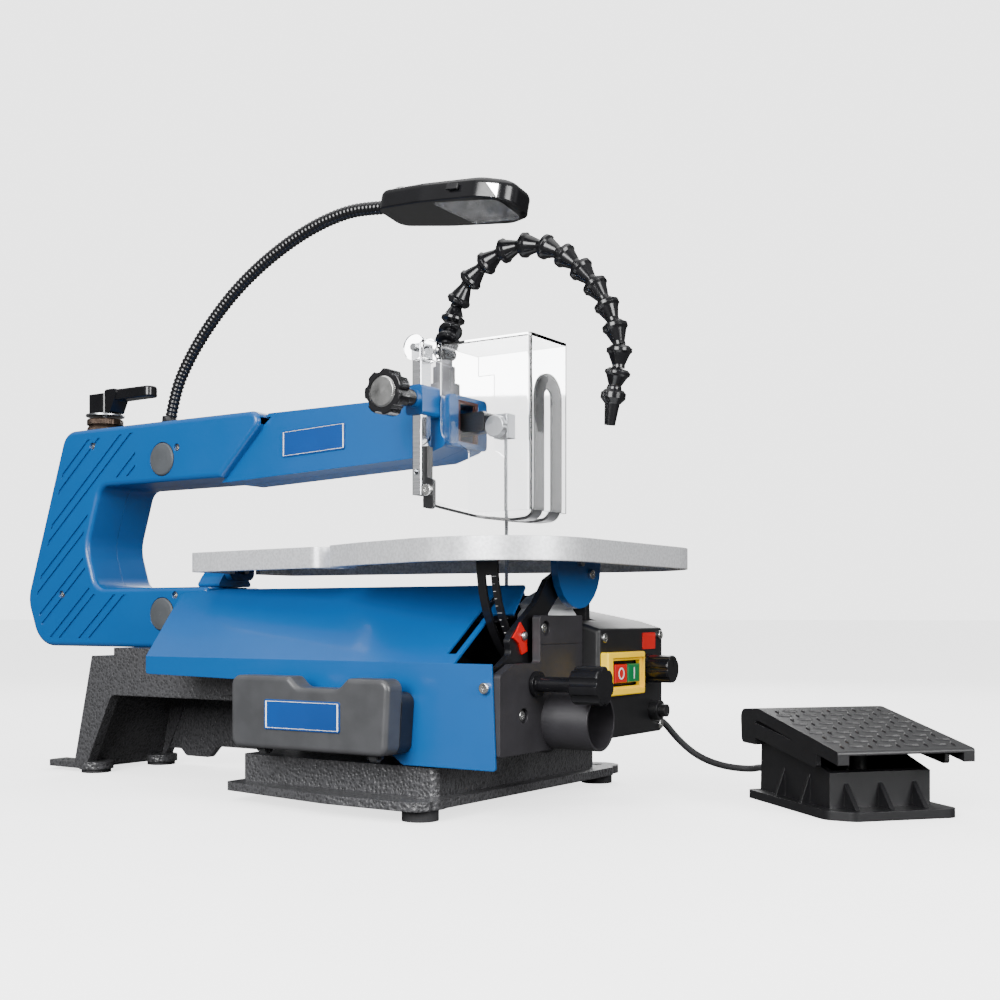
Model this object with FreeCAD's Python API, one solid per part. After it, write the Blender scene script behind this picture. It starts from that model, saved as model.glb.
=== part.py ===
import FreeCAD, Part
import math
import os

os.makedirs("parts", exist_ok=True)

# Scroll saw, millimetres. While building, X runs from the column to the operator, Z is up and
# the blade stands at X = 0, Y = 0. Saving moves everything so that the origin is midway
# between the two front bench bolts, at bench level.

Vector = FreeCAD.Vector

# ---- driving dimensions ----
ARM_PIVOT_X = -315.0
UPPER_PIVOT_Z = 259.5
LOWER_PIVOT_Z = 132.5
REAR_ROD_X = -421.0
BLADE_LENGTH = 127.0
BLADE_TOP_Z = 264.0

HOUSING_HALF = 32.0       # half width of the C housing
ARM_HALF = 24.0           # half width of its slimmer front arm
WALL = 4.0
HOUSING_TOP_Z = 291.0
HOUSING_BOTTOM_Z = 105.0
OPENING_TOP_Z = 241.0
OPENING_BOTTOM_Z = 154.5
ARM_FRONT_X = -36.0

TABLE_TOP_Z = 180.0
TABLE_RIM = 15.0
TABLE_PLATE = 6.0
TABLE_REAR_X = -255.0
TABLE_FRONT_X = 103.0
TABLE_HALF = 127.5
TABLE_CORNER = 60.0
TILT_Z = 168.0

FRONT_BOLT_X = 3.0
FRONT_BOLT_Y = (-107.0, 127.0)
REAR_BOLT_X = -424.0
REAR_BOLT_Y = (-41.0, 31.0)
REAR_FOOT_X = -384.0
BOLT_R = 4.25
FOOT_R = 12.0
FOOT_H = 8.0
HEEL_H = 3.0              # underside of the rear leg and lug
FLANGE_H = 6.0

PANEL_Y = -106.0
PANEL_FOLD_Z = 101.0
PANEL_TOP_Y = -35.0
PANEL_TOP_Z = 152.0
SHEET = 1.5

PLATE_X = 62.0            # front face of the black front plate
BOX_X = 75.0              # front face of the control box
BOX_Y = (0.0, 98.0)
BOX_Z = (46.0, 122.0)
BOX_EXIT = (62.0, 56.0)   # X and Z of the cord's hole in the control box
PLATE_SCREWS = ((-76.0, 67.3), (-48.6, 123.0))
KNOB_Y = 69.5
MOTOR_X = -60.0
MOTOR_Z = 84.0
CRANK_THROW = 4.9

POST_X = -46.0
POST_Y = -39.0
POST_KNOB_Z = 283.0
GUARD_Y = (-27.5, 23.0)
GUARD_X = (-38.0, 37.0)
GUARD_Z = (203.5, 324.0)
GUARD_HINGE_Z = 319.0

LAMP_BASE_X = -340.0
LAMP_PIVOT = (-99.5, 438.2)   # X and Z of the lamp's tilt pin
HOSE_Y = 36.0
HOSE_BASE = (-64.0, 14.0)
HOSE_BALL_R = 5.5
HOSE_BALL_GAP = 0.35

PEDAL_HEADING = 138.0     # degrees: from the toe end to the cord end
PEDAL_CORNER = (231.0, 25.0)
PEDAL_LENGTH = 126.0
PEDAL_WIDTH = 90.0
PEDAL_EXIT_Y = -18.0

CORD_R = 2.5
CASE_HINGES = (-120.0, -24.0)
PORT_R = 17.5             # bore of the dust spout

ORIGIN = Vector(FRONT_BOLT_X, sum(FRONT_BOLT_Y) / 2, 0)


# ---- helpers ----
def box(x0, x1, y0, y1, z0, z1):
    return Part.makeBox(x1 - x0, y1 - y0, z1 - z0, Vector(x0, y0, z0))


def rod(start, end, radius):
    a, b = Vector(*start), Vector(*end)
    return Part.makeCylinder(radius, (b - a).Length, a, b - a)


def tube(start, end, outer, inner):
    a, b = Vector(*start), Vector(*end)
    reach = (b - a).normalize()
    return rod(start, end, outer).cut(rod(tuple(a - reach), tuple(b + reach), inner))


def outline(points):
    """Closed wire in the XY plane. Each point is (x, y) or (x, y, radius of its rounded corner)."""
    edges = []
    count = len(points)
    last = None
    first = None
    for i, point in enumerate(points):
        here = Vector(point[0], point[1], 0)
        radius = point[2] if len(point) > 2 else 0.0
        before = Vector(points[i - 1][0], points[i - 1][1], 0)
        after = Vector(points[(i + 1) % count][0], points[(i + 1) % count][1], 0)
        to_before = (before - here).normalize()
        to_after = (after - here).normalize()
        if radius > 0 and to_before.getAngle(to_after) < math.pi - 1e-3:
            half = to_before.getAngle(to_after) / 2
            reach = radius / math.tan(half)
            middle = (to_before + to_after).normalize()
            centre = here + middle * (radius / math.sin(half))
            enter, leave = here + to_before * reach, here + to_after * reach
            bend = centre - middle * radius
            arc = Part.Arc(enter, bend, leave).toShape()
        else:
            enter = leave = here
            arc = None
        if last is not None and (enter - last).Length > 1e-6:
            edges.append(Part.LineSegment(last, enter).toShape())
        if arc is not None:
            edges.append(arc)
        if first is None:
            first = enter
        last = leave
    if (first - last).Length > 1e-6:
        edges.append(Part.LineSegment(last, first).toShape())
    return Part.Wire(edges)


def slab(points, low, high, axis="z"):
    """Outline extruded along an axis. In-plane pairs are XY for z, XZ for y and YZ for x."""
    solid = Part.Face(outline(points)).extrude(Vector(0, 0, high - low))
    solid.translate(Vector(0, 0, low))
    if axis == "y":
        solid.rotate(Vector(0, 0, 0), Vector(1, 0, 0), 90)
        return solid.mirror(Vector(0, 0, 0), Vector(0, 1, 0))
    if axis == "x":
        turned = FreeCAD.Rotation(Vector(1, 1, 1), 120)
        solid.Placement = FreeCAD.Placement(Vector(0, 0, 0), turned).multiply(solid.Placement)
    return solid


def spin(points, axis_start, axis_dir):
    """Profile of (radius, height) pairs turned about an axis."""
    wire = Part.makePolygon([Vector(r, 0, h) for r, h in points] + [Vector(points[0][0], 0, points[0][1])])
    solid = Part.Face(wire).revolve(Vector(0, 0, 0), Vector(0, 0, 1), 360)
    turn = FreeCAD.Rotation(Vector(0, 0, 1), Vector(*axis_dir))
    solid.Placement = FreeCAD.Placement(Vector(*axis_start), turn)
    return solid


def soften(shape, radius, pick):
    """Rounds the edges that pick() chooses."""
    edges = [edge for edge in shape.Edges if pick(edge)]
    return shape.makeFillet(radius, edges) if edges else shape


def along(edge, axis):
    """True for a straight edge that runs along x, y or z."""
    if not isinstance(edge.Curve, Part.Line):
        return False
    run = edge.Vertexes[-1].Point - edge.Vertexes[0].Point
    parts = {"x": abs(run.x), "y": abs(run.y), "z": abs(run.z)}
    return parts[axis] > 0.999 * run.Length


def lobed(radius, count, depth, low, high):
    """Knob body with scallops cut round its rim, along Z."""
    body = rod((0, 0, low), (0, 0, high), radius)
    body = body.makeFillet(1.2, [e for e in body.Edges if isinstance(e.Curve, Part.Circle)])
    for i in range(count):
        angle = 2 * math.pi * i / count
        away = radius + depth
        spot = (away * math.cos(angle), away * math.sin(angle))
        body = body.cut(rod((*spot, low - 1), (*spot, high + 1), 2 * depth))
    return body


def placed(shape, spot, direction):
    turn = FreeCAD.Rotation(Vector(0, 0, 1), Vector(*direction))
    shape.Placement = FreeCAD.Placement(Vector(*spot), turn).multiply(shape.Placement)
    return shape


def screw(spot, direction, radius=3.2, height=2.4, shank=6.0):
    """Pan head screw. Direction points out of the head, spot is where the head seats."""
    head = rod((0, 0, 0), (0, 0, height), radius)
    head = soften(head, 0.8, lambda e: e.BoundBox.ZMin > height - 0.01)
    head = head.cut(box(-0.5, 0.5, -1.7, 1.7, height - 1, height + 1))
    head = head.cut(box(-1.7, 1.7, -0.5, 0.5, height - 1, height + 1))
    head = head.fuse(rod((0, 0, -shank), (0, 0, 0), radius / 2))
    return placed(head, spot, direction)


def group(shapes):
    return Part.makeCompound(shapes)


def save(name, shape):
    shape = shape.copy()
    if shape.ShapeType == "Compound":
        solids = shape.Solids
        shape = solids[0] if len(solids) == 1 else Part.makeCompound(solids)
    shape.translate(-ORIGIN)
    print(f"{name:22s} solids {len(shape.Solids):3d} valid {shape.isValid()} volume {shape.Volume:12.0f}")
    shape.exportStep(f"parts/{name}.step")


# ---- base and feet ----
def bolt_spots():
    front = [(FRONT_BOLT_X, y) for y in FRONT_BOLT_Y]
    rear = [(REAR_BOLT_X, y) for y in REAR_BOLT_Y]
    return front, rear


def base_casting():
    """Cast iron stand: a box under the front, a bridge and a splayed leg under the column."""
    low, heel, top = FOOT_H, HEEL_H, 33.0
    flange = [(-165, -112, 6), (-60, -128, 30), (18, -128, 12), (24, 125, 12),
              (-40, 125, 20), (-165, 108, 6)]
    body = slab(flange, low, low + FLANGE_H)
    front_box = slab([(-160, -100, 5), (10, -100, 5), (10, 112, 5), (-160, 98, 5)], low, top)
    hollow = box(-152, 2, -92, 90, low - 1, top - 6)
    for y in FRONT_BOLT_Y:
        body = body.fuse(rod((FRONT_BOLT_X, y, low), (FRONT_BOLT_X, y, low + FLANGE_H), 17))
    body = body.fuse(front_box)
    rear = slab([(-379, 98), (-352, 98), (-352, HOUSING_BOTTOM_Z), (-310, HOUSING_BOTTOM_Z), (-310, 98),
                 (-150, 98, 4), (-150, 20), (-163, 20), (-163, 66, 6), (-354, 66, 8), (-386, heel),
                 (-402, heel)], -50, 44, "y")
    rear_hollow = slab([(-392, 66), (-360, 90), (-158, 90), (-158, 2), (-392, 2)], -42, 36, "y")
    leg_wall = slab([(-379, 97), (-366, 97), (-389, heel), (-402, heel)], -50, 44, "y")
    far_wall = slab([(-379, 97), (-389, 14), (-366, 14, 4), (-360, 8, 5), (-332, 8, 5), (-322, 18, 6),
                     (-159, 18),
                     (-159, 97)], 38, 44, "y")
    rim = slab([(-390, heel), (-386, heel), (-354, 66, 8), (-163, 66, 6), (-163, 20), (-159.5, 20),
                (-159.5, 69.5, 9),
                (-356.5, 69.5, 11)], -51.2, -49.5, "y")
    rear = rear.cut(rear_hollow).fuse(leg_wall).fuse(far_wall).fuse(rim)
    body = body.fuse(rear).cut(hollow)
    lug = slab([(-400, -50, 2), (-438, -50, 8), (-438, 40, 8), (-400, 40, 2)], heel, heel + 5)
    body = body.fuse(lug.cut(slab([(-450, -28, 5), (-412, -28, 8), (-412, 18, 8), (-450, 18, 5)], 0, 30)))
    for y in REAR_BOLT_Y:
        body = body.fuse(rod((REAR_FOOT_X, y, heel), (REAR_FOOT_X, y, heel + FLANGE_H), 14))
    front, rear_spots = bolt_spots()
    for x, y in front + rear_spots:
        body = body.cut(rod((x, y, 0), (x, y, 40), BOLT_R))
    for y in REAR_BOLT_Y:
        body = body.cut(rod((REAR_FOOT_X, y, 0), (REAR_FOOT_X, y, heel + 1.5), 4))
    return body.removeSplitter()


def rubber_feet():
    feet = []
    for x, y in bolt_spots()[0]:
        feet.append(tube((x, y, 0), (x, y, FOOT_H), FOOT_R, BOLT_R))
    for y in REAR_BOLT_Y:
        foot = rod((REAR_FOOT_X, y, 0), (REAR_FOOT_X, y, HEEL_H), FOOT_R)
        feet.append(foot.fuse(rod((REAR_FOOT_X, y, HEEL_H), (REAR_FOOT_X, y, HEEL_H + 1.5), 3.9)))
    return group(feet)


# ---- housing ----
def housing_outline():
    return [(-471, HOUSING_BOTTOM_Z, 26), (-487, 146, 26), (-436, HOUSING_TOP_Z, 16),
            (-197, HOUSING_TOP_Z, 8), (-250, OPENING_TOP_Z, 3), (-391, OPENING_TOP_Z, 12),
            (-408, 190, 30), (-396, OPENING_BOTTOM_Z, 14), (-264, OPENING_BOTTOM_Z, 4),
            (-258, HOUSING_BOTTOM_Z, 4)]


def arm_outline():
    return [(-255, 237.5), (-60, 245, 4), (ARM_FRONT_X, 252, 5), (ARM_FRONT_X, 289, 8), (-205, 289)]


def inset_outline():
    return [(-466, 110, 22), (-481, 146, 22), (-431, 286, 12), (-202, 286), (-259, 245, 3),
            (-391, 245, 14), (-413, 190, 30), (-397, 149.5, 14), (-254, 149.5), (-254, 110)]


def decoration(side):
    """Shallow paired grooves across the rear of a shell, rising to the front."""
    field = [(-462, 112, 14), (-474, 146, 20), (-430, 281, 10), (-347, 284), (-347, 248), (-396, 247, 14),
             (-415, 190, 26), (-402, 149, 10), (-347, 149), (-347, 112)]
    depth, rise = 1.2, 40
    outer = side * HOUSING_HALF
    mask = slab(field, *sorted((outer - side * depth, outer + side)), "y")
    stripes = []
    for i in range(7):
        for shift in (0.0, 8.0):
            stripe = box(-200, 200, -20, 20, shift - 1.1, shift + 1.1)
            stripe.rotate(Vector(0, 0, 0), Vector(0, 1, 0), -rise)
            stripe.translate(Vector(-430, outer, 90 + 32 * i))
            stripes.append(stripe)
    return group([mask.common(stripe) for stripe in stripes])


def housing_half(side):
    """One shell of the C housing, with its front arm. side is -1 for the left shell, 1 for the right."""
    def part(points, half, low=0.15):
        return slab(points, *sorted((side * low, side * half)), "y")
    column = part(housing_outline(), HOUSING_HALF)
    arm = part(arm_outline(), ARM_HALF)
    body = column.fuse(arm)
    body = body.removeSplitter()
    face_y = side * HOUSING_HALF
    body = soften(body, 4.0, lambda e: abs(e.BoundBox.YMin - face_y) < 0.01
                  and abs(e.BoundBox.YMax - face_y) < 0.01)
    body = body.cut(part(inset_outline(), HOUSING_HALF - WALL, -1))
    body = body.cut(part([(-240, 242.5), (-60, 250), (-30, 256), (-30, 284), (-215, 284)],
                         ARM_HALF - WALL, -1))
    body = body.cut(part([(-262, 244), (-200, 248), (-200, 281), (-262, 279)], 9.5, -1))
    body = body.cut(decoration(side))
    for z in (UPPER_PIVOT_Z, LOWER_PIVOT_Z):
        boss = rod((ARM_PIVOT_X, side * 11, z), (ARM_PIVOT_X, side * (HOUSING_HALF - 1), z), 10)
        body = body.fuse(boss)
        body = body.cut(rod((ARM_PIVOT_X, 0, z), (ARM_PIVOT_X, side * 24, z), 5))
        body = body.cut(rod((ARM_PIVOT_X, side * (HOUSING_HALF - 2.5), z),
                            (ARM_PIVOT_X, side * (HOUSING_HALF + 3), z), 14))
    body = body.cut(rod((REAR_ROD_X, 0, 270), (REAR_ROD_X, 0, 300), 6))
    if side < 0:
        for x, z in ((-298, 268), (-300, 148), (-440, 150), (-400, 276)):
            body = body.cut(rod((x, -HOUSING_HALF - 1, z), (x, -HOUSING_HALF + 5, z), 3.2))
        body = body.cut(rod((LAMP_BASE_X, 0, 280), (LAMP_BASE_X, 0, 300), 4))
    else:
        body = body.cut(rod((LAMP_BASE_X, 0, 280), (LAMP_BASE_X, 0, 300), 4))
    return body


def housing_bolts():
    heads = []
    for x, z in ((-298, 268), (-300, 148), (-440, 150), (-400, 276)):
        y = -HOUSING_HALF + WALL + 0.4
        head = rod((x, y, z), (x, y - 3, z), 3.0)
        socket = slab([(1.3 * math.cos(math.radians(a)), 1.3 * math.sin(math.radians(a)))
                       for a in range(0, 360, 60)], 0, 3)
        socket.Placement = FreeCAD.Placement(Vector(x, y - 1, z), FreeCAD.Rotation(Vector(0, 0, 1),
                                                                                   Vector(0, -1, 0)))
        heads.append(head.cut(socket))
    return group(heads)


def pivot_caps():
    caps = []
    for side in (-1, 1):
        for z in (UPPER_PIVOT_Z, LOWER_PIVOT_Z):
            start = side * (HOUSING_HALF - 2.4)
            cap = spin([(0, 0), (13.4, 0), (13.4, 2.6), (12.4, 3.6), (8.5, 4.2), (4.0, 4.5), (0, 4.6)],
                       (ARM_PIVOT_X, start, z), (0, side, 0))
            caps.append(cap)
    return group(caps)


def pivot_pins():
    return group([rod((ARM_PIVOT_X, -23.8, z), (ARM_PIVOT_X, 23.8, z), 4.95)
                  for z in (UPPER_PIVOT_Z, LOWER_PIVOT_Z)])


def arm_badge():
    plate = slab([(-190, 253.5, 1.5), (-128, 256, 1.5), (-128, 276, 1.5), (-190, 273.5, 1.5)],
                 -ARM_HALF - 0.8, -ARM_HALF, "y")
    return plate


# ---- rocking arms, blade and rear link ----
def pivot_bushes(z):
    return tube((ARM_PIVOT_X, -9, z), (ARM_PIVOT_X, 9, z), 7.0, 5.0)


def upper_arm():
    beam = slab([(REAR_ROD_X - 7, UPPER_PIVOT_Z - 7, 4), (REAR_ROD_X - 7, UPPER_PIVOT_Z + 7, 4),
                 (ARM_PIVOT_X, UPPER_PIVOT_Z + 9, 30), (-14, 277, 2), (-14, 263, 2),
                 (ARM_PIVOT_X, UPPER_PIVOT_Z - 9, 30)], -7, 7, "y")
    beam = beam.fuse(rod((ARM_PIVOT_X, -8, UPPER_PIVOT_Z), (ARM_PIVOT_X, 8, UPPER_PIVOT_Z), 9.5))
    beam = beam.cut(rod((ARM_PIVOT_X, -9, UPPER_PIVOT_Z), (ARM_PIVOT_X, 9, UPPER_PIVOT_Z), 7.0))
    beam = beam.cut(box(REAR_ROD_X - 8.5, REAR_ROD_X + 8.5, -8, 8, UPPER_PIVOT_Z - 12, UPPER_PIVOT_Z + 12))
    fork = box(REAR_ROD_X - 6, REAR_ROD_X + 9, -7, -4.6, UPPER_PIVOT_Z - 5, UPPER_PIVOT_Z + 5)
    fork = fork.fuse(box(REAR_ROD_X - 6, REAR_ROD_X + 9, 4.6, 7, UPPER_PIVOT_Z - 5, UPPER_PIVOT_Z + 5))
    nose = box(-22, -8, -6, 6, 266, 274)
    slot = box(-13.7, -7, -3.6, 3.6, 262, 278)
    return beam.fuse(fork).fuse(nose).cut(slot)


def lower_arm():
    beam = slab([(REAR_ROD_X - 7, LOWER_PIVOT_Z - 6, 4), (REAR_ROD_X - 7, LOWER_PIVOT_Z + 6, 4),
                 (ARM_PIVOT_X, LOWER_PIVOT_Z + 9, 30), (-14, 139, 2), (-14, 127, 2),
                 (ARM_PIVOT_X, LOWER_PIVOT_Z - 9, 30)], -7, 7, "y")
    beam = beam.fuse(rod((ARM_PIVOT_X, -8, LOWER_PIVOT_Z), (ARM_PIVOT_X, 8, LOWER_PIVOT_Z), 9.5))
    beam = beam.cut(rod((ARM_PIVOT_X, -9, LOWER_PIVOT_Z), (ARM_PIVOT_X, 9, LOWER_PIVOT_Z), 7.0))
    beam = beam.cut(box(REAR_ROD_X - 8.5, REAR_ROD_X + 8.5, -8, 8, LOWER_PIVOT_Z - 12, LOWER_PIVOT_Z + 12))
    fork = box(REAR_ROD_X - 6, REAR_ROD_X + 9, -7, -4.6, LOWER_PIVOT_Z - 5, LOWER_PIVOT_Z + 5)
    fork = fork.fuse(box(REAR_ROD_X - 6, REAR_ROD_X + 9, 4.6, 7, LOWER_PIVOT_Z - 5, LOWER_PIVOT_Z + 5))
    nose = box(-22, -8, -6, 6, 129, 137)
    slot = box(-13.7, -7, -3.6, 3.6, 126, 140)
    lug = box(MOTOR_X - 9, MOTOR_X + 9, -7, 7, 116, 128)
    lug = lug.cut(box(MOTOR_X - 10, MOTOR_X + 10, -4, 4, 110, 126))
    return beam.fuse(fork).fuse(nose).cut(slot).fuse(lug).cut(
        rod((MOTOR_X, -8, 120), (MOTOR_X, 8, 120), 2.5))


def connecting_rod():
    """Links the crank pin to the lower arm. Its big end is left wide open round the crank pin."""
    big = rod((MOTOR_X, -3.8, MOTOR_Z), (MOTOR_X, 3.8, MOTOR_Z), 19)
    shank = box(MOTOR_X - 5, MOTOR_X + 5, -3.8, 3.8, MOTOR_Z + 10, 120)
    eye = rod((MOTOR_X, -3.8, 120), (MOTOR_X, 3.8, 120), 5)
    body = big.fuse(shank).fuse(eye)
    body = body.cut(rod((MOTOR_X, -5, MOTOR_Z), (MOTOR_X, 5, MOTOR_Z), 15.5))
    return body.cut(rod((MOTOR_X, -5, 120), (MOTOR_X, 5, 120), 2.5))


def connecting_pin():
    return rod((MOTOR_X, -7.5, 120), (MOTOR_X, 7.5, 120), 2.5)


def tension_rod():
    """Rear link between the two arms, with a pin in each arm's fork."""
    link = box(REAR_ROD_X - 4, REAR_ROD_X + 4, -4.2, 4.2, LOWER_PIVOT_Z - 5, UPPER_PIVOT_Z + 6)
    for z in (LOWER_PIVOT_Z, UPPER_PIVOT_Z):
        link = link.fuse(rod((REAR_ROD_X, -4.3, z), (REAR_ROD_X, 4.3, z), 5))
    return link.fuse(rod((REAR_ROD_X, 0, UPPER_PIVOT_Z + 4), (REAR_ROD_X, 0, 309), 4))


def tension_collar():
    """Knurled collar that stands on the housing round the tension rod."""
    collar = spin([(6.0, 291.3), (15.0, 291.3), (16.0, 293.0), (15.2, 296.0), (13.6, 298.4),
                   (15.6, 299.0),
                   (15.6, 303.0), (14.8, 304.0), (6.0, 304.0)], (REAR_ROD_X, 0, 0), (0, 0, 1))
    return collar


def tension_washer():
    return tube((REAR_ROD_X, 0, 306.5), (REAR_ROD_X, 0, 308.0), 16.5, 4.0)


def tension_lever():
    hub = slab([(-434, -9, 4), (-411, -9, 4), (-411, 9, 4), (-434, 9, 4)], 308.3, 326)
    hub = hub.cut(rod((REAR_ROD_X, 0, 300), (REAR_ROD_X, 0, 316), 4.05))
    wedge = slab([(-413, 309), (-406, 309, 2), (-396, 329, 3), (-413, 329, 3)], -8, 8, "y")
    handle = slab([(-412, -7.5, 3), (-385, -7, 6), (-359, -6.5, 5.5), (-359, 6.5, 5.5), (-385, 7, 6),
                   (-412, 7.5, 3)], 319, 328.5)
    handle = soften(handle, 1.8, lambda e: e.BoundBox.ZLength < 0.01)
    return hub.fuse(wedge).fuse(handle).removeSplitter()


def blade():
    low = BLADE_TOP_Z - BLADE_LENGTH
    return box(-1.3, 1.3, -0.25, 0.25, low, BLADE_TOP_Z)


def blade_clamp(low, high, blade_low, blade_high):
    """Clamp block at a blade end, with a tongue that hangs in the arm's forked nose."""
    block = soften(box(-7, 5, -5.5, 5.5, low, high), 1.2, lambda e: along(e, "z"))
    tongue = box(-13.2, -6, -3.0, 3.0, low + 5, low + 11)
    slot = box(-1.3, 1.3, -0.25, 0.25, blade_low, blade_high)
    hole = rod((-1, -20, (low + high) / 2 - 1), (-1, -0.25, (low + high) / 2 - 1), 2.0)
    return block.fuse(tongue).cut(slot).cut(hole)


def clamp_screw(z):
    """Thumb screw that grips the blade end."""
    head = lobed(8.0, 10, 0.7, 0, 6)
    head = placed(head, (-1, -8.0, z), (0, -1, 0))
    return head.fuse(rod((-1, -8.5, z), (-1, -0.6, z), 1.9))


# ---- motor and crank ----
def motor_can():
    can = tube((MOTOR_X, 40, MOTOR_Z), (MOTOR_X, 100, MOTOR_Z), 34, 31)
    face = tube((MOTOR_X, 36, MOTOR_Z), (MOTOR_X, 40, MOTOR_Z), 34, 6)
    return can.fuse(face)


def motor_end_bell():
    bell = spin([(0, 0), (34, 0), (34, 6), (28, 12), (14, 14), (0, 14)], (MOTOR_X, 100, MOTOR_Z),
                (0, 1, 0))
    bell = bell.cut(rod((MOTOR_X, 99, MOTOR_Z), (MOTOR_X, 106, MOTOR_Z), 26))
    for i in range(8):
        angle = math.radians(45 * i)
        x, z = MOTOR_X + 20 * math.cos(angle), MOTOR_Z + 20 * math.sin(angle)
        bell = bell.cut(rod((x, 99, z), (x, 120, z), 3.5))
    return bell


def motor_stator():
    return tube((MOTOR_X, 52, MOTOR_Z), (MOTOR_X, 88, MOTOR_Z), 30.8, 18)


def motor_rotor():
    body = rod((MOTOR_X, 54, MOTOR_Z), (MOTOR_X, 86, MOTOR_Z), 17.2)
    shaft = rod((MOTOR_X, 8.5, MOTOR_Z), (MOTOR_X, 103, MOTOR_Z), 4)
    return body.fuse(shaft)


def cooling_fan():
    fan = tube((MOTOR_X, 91, MOTOR_Z), (MOTOR_X, 98, MOTOR_Z), 8, 4)
    for i in range(6):
        blade_box = box(MOTOR_X + 7, MOTOR_X + 24, 91, 98, MOTOR_Z - 1, MOTOR_Z + 1)
        blade_box.rotate(Vector(MOTOR_X, 0, MOTOR_Z), Vector(0, 1, 0), 60 * i)
        fan = fan.fuse(blade_box)
    return fan


def crank_disc():
    disc = rod((MOTOR_X, 8.5, MOTOR_Z), (MOTOR_X, 16, MOTOR_Z), 14)
    pin = rod((MOTOR_X + CRANK_THROW, -3.5, MOTOR_Z), (MOTOR_X + CRANK_THROW, 9, MOTOR_Z), 4)
    return disc.fuse(pin).cut(rod((MOTOR_X, 8, MOTOR_Z), (MOTOR_X, 17, MOTOR_Z), 4))


def motor_plate():
    """Steel web that stands on the base and carries the motor."""
    plate = slab([(-245, 98), (-149.9, 98), (-149.9, 33), (5, 33), (5, 60, 4), (47.45, 60),
                  (47.45, 146, 4),
                  (-245, 146, 4)], 30, 36, "y")
    plate = plate.cut(rod((MOTOR_X, 20, MOTOR_Z), (MOTOR_X, 40, MOTOR_Z), 16.5))
    return plate


# ---- covers ----
def side_panel_left():
    """Bent sheet cover: an upright strip outside the base and a slope up to the arm."""
    upright = slab([(-252, 88, 2), (-143, 86), (-20, 40, 8), (-12, 34.5, 2), (60, 34.5, 2),
                    (57, PANEL_FOLD_Z), (-252, PANEL_FOLD_Z)], PANEL_Y, PANEL_Y + SHEET, "y")
    rise = PANEL_TOP_Z - PANEL_FOLD_Z
    run = PANEL_TOP_Y - PANEL_Y
    slope = math.hypot(rise, run)
    sheet = slab([(-252, 0), (57, 0), (38, slope, 3), (-240, slope, 3), (-285, slope - 4, 3)], -SHEET, 0)
    sheet = sheet.cut(slab([(17.5, 10, 1), (24.5, 10, 1), (24.5, 76, 1), (17.5, 76, 1)], -5, 5))
    sheet = sheet.cut(slab([(28.5, -9), (70, -9), (70, 54), (28.5, 54, 3)], -5, 5))
    sheet.rotate(Vector(0, 0, 0), Vector(1, 0, 0), math.degrees(math.atan2(rise, run)))
    sheet.translate(Vector(0, PANEL_Y, PANEL_FOLD_Z))
    return upright.fuse(sheet).removeSplitter()


def side_panel_right():
    panel = slab([(-285, 107, 3), (-150, 107, 3), (-120, 128, 6), (-9, 128, 3), (-9, 150, 4),
                  (-285, 150, 4)],
                 38, 39.5, "y")
    for i in range(9):
        x = -260 + 12 * i
        panel = panel.cut(slab([(x, 118, 1.5), (x + 4, 118, 1.5), (x + 4, 140, 1.5),
                                (x, 140, 1.5)], 30, 45, "y"))
    return panel


def panel_screws():
    spots = [((52.5, PANEL_Y - 0.05, 86), (0, -1, 0)),
             ((-275, 39.55, 144), (0, 1, 0)), ((-20, 39.55, 144), (0, 1, 0))]
    return group([screw(spot, out, 3.6, 2.8, 0.01) for spot, out in spots])


def panel_bracket():
    """Arm on the base that the left panel's rear end is riveted to from inside."""
    tab = box(-250, -232, -104.4, -101, 89, 98)
    return tab.fuse(box(-248, -240, -104.4, -50, 90, 96))


def front_plate():
    """Black plastic front plate, with the hole of the dust port and the slotted trunnion gusset."""
    plate = slab([(-104, 43, 1), (-0.3, 43), (-0.3, 131.5, 1), (-56, 131.5, 2), (-56, 100.5, 2),
                  (-88, 100.5, 3),
                  (-104, 94, 3)], 56, PLATE_X, "x")
    plate = plate.cut(box(61.5, 63, -55, -1, 112, 112.6))
    plate = plate.cut(rod((50, -36, 62), (70, -36, 62), 19.05))
    plate = plate.cut(rod((50, -62, 87), (70, -62, 87), 5.3))
    for y, z in PLATE_SCREWS:
        plate = plate.cut(rod((59, y, z), (63, y, z), 5.0))
    for y, z in ((-92, 90), (-12, 96), (-7, 68)):
        plate = plate.fuse(rod((52, y, z), (56, y, z), 3.5))
    return plate


def trunnion_bracket():
    """Black gusset under the table's front, which carries the tilt pivot."""
    gusset = slab([(-104.4, 78), (-84, 78), (-84, 66, 8), (-62, 66, 8), (-62, 88), (-56, 88), (-14, 88),
                   (-14, 60), (29.95, 60), (29.95, 112), (-32, 112, 4), (-30, 132, 8), (-12, 148, 6),
                   (5, 160, 6), (6, 166, 3), (5, 172.5, 4), (-5, 172.5, 4), (-12, 163, 4),
                   (-30, 155.5, 5),
                   (-44, 140, 8), (-63, 127.5, 4), (-73, 121, 4), (-78, 115, 3), (-75, 107, 4),
                   (-89, 99, 3),
                   (-104.4, 96)], 47.5, 52, "x")
    gusset = gusset.cut(rod((40, 0, TILT_Z), (60, 0, TILT_Z), 3.05))
    return gusset


def tilt_pointer():
    arrow = slab([(-66, 127), (-70, 121.5), (-75, 117), (-68, 113), (-64, 106), (-57.5, 108),
                  (-58.5, 114),
                  (-57, 119), (-61, 122)], 52.05, 53.4, "x")
    return arrow


def dust_port():
    ring = tube((55, -36, 62), (96, -36, 62), 19, PORT_R)
    flange = tube((52.5, -36, 62), (55.5, -36, 62), 22, PORT_R)
    return ring.fuse(flange)


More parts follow.
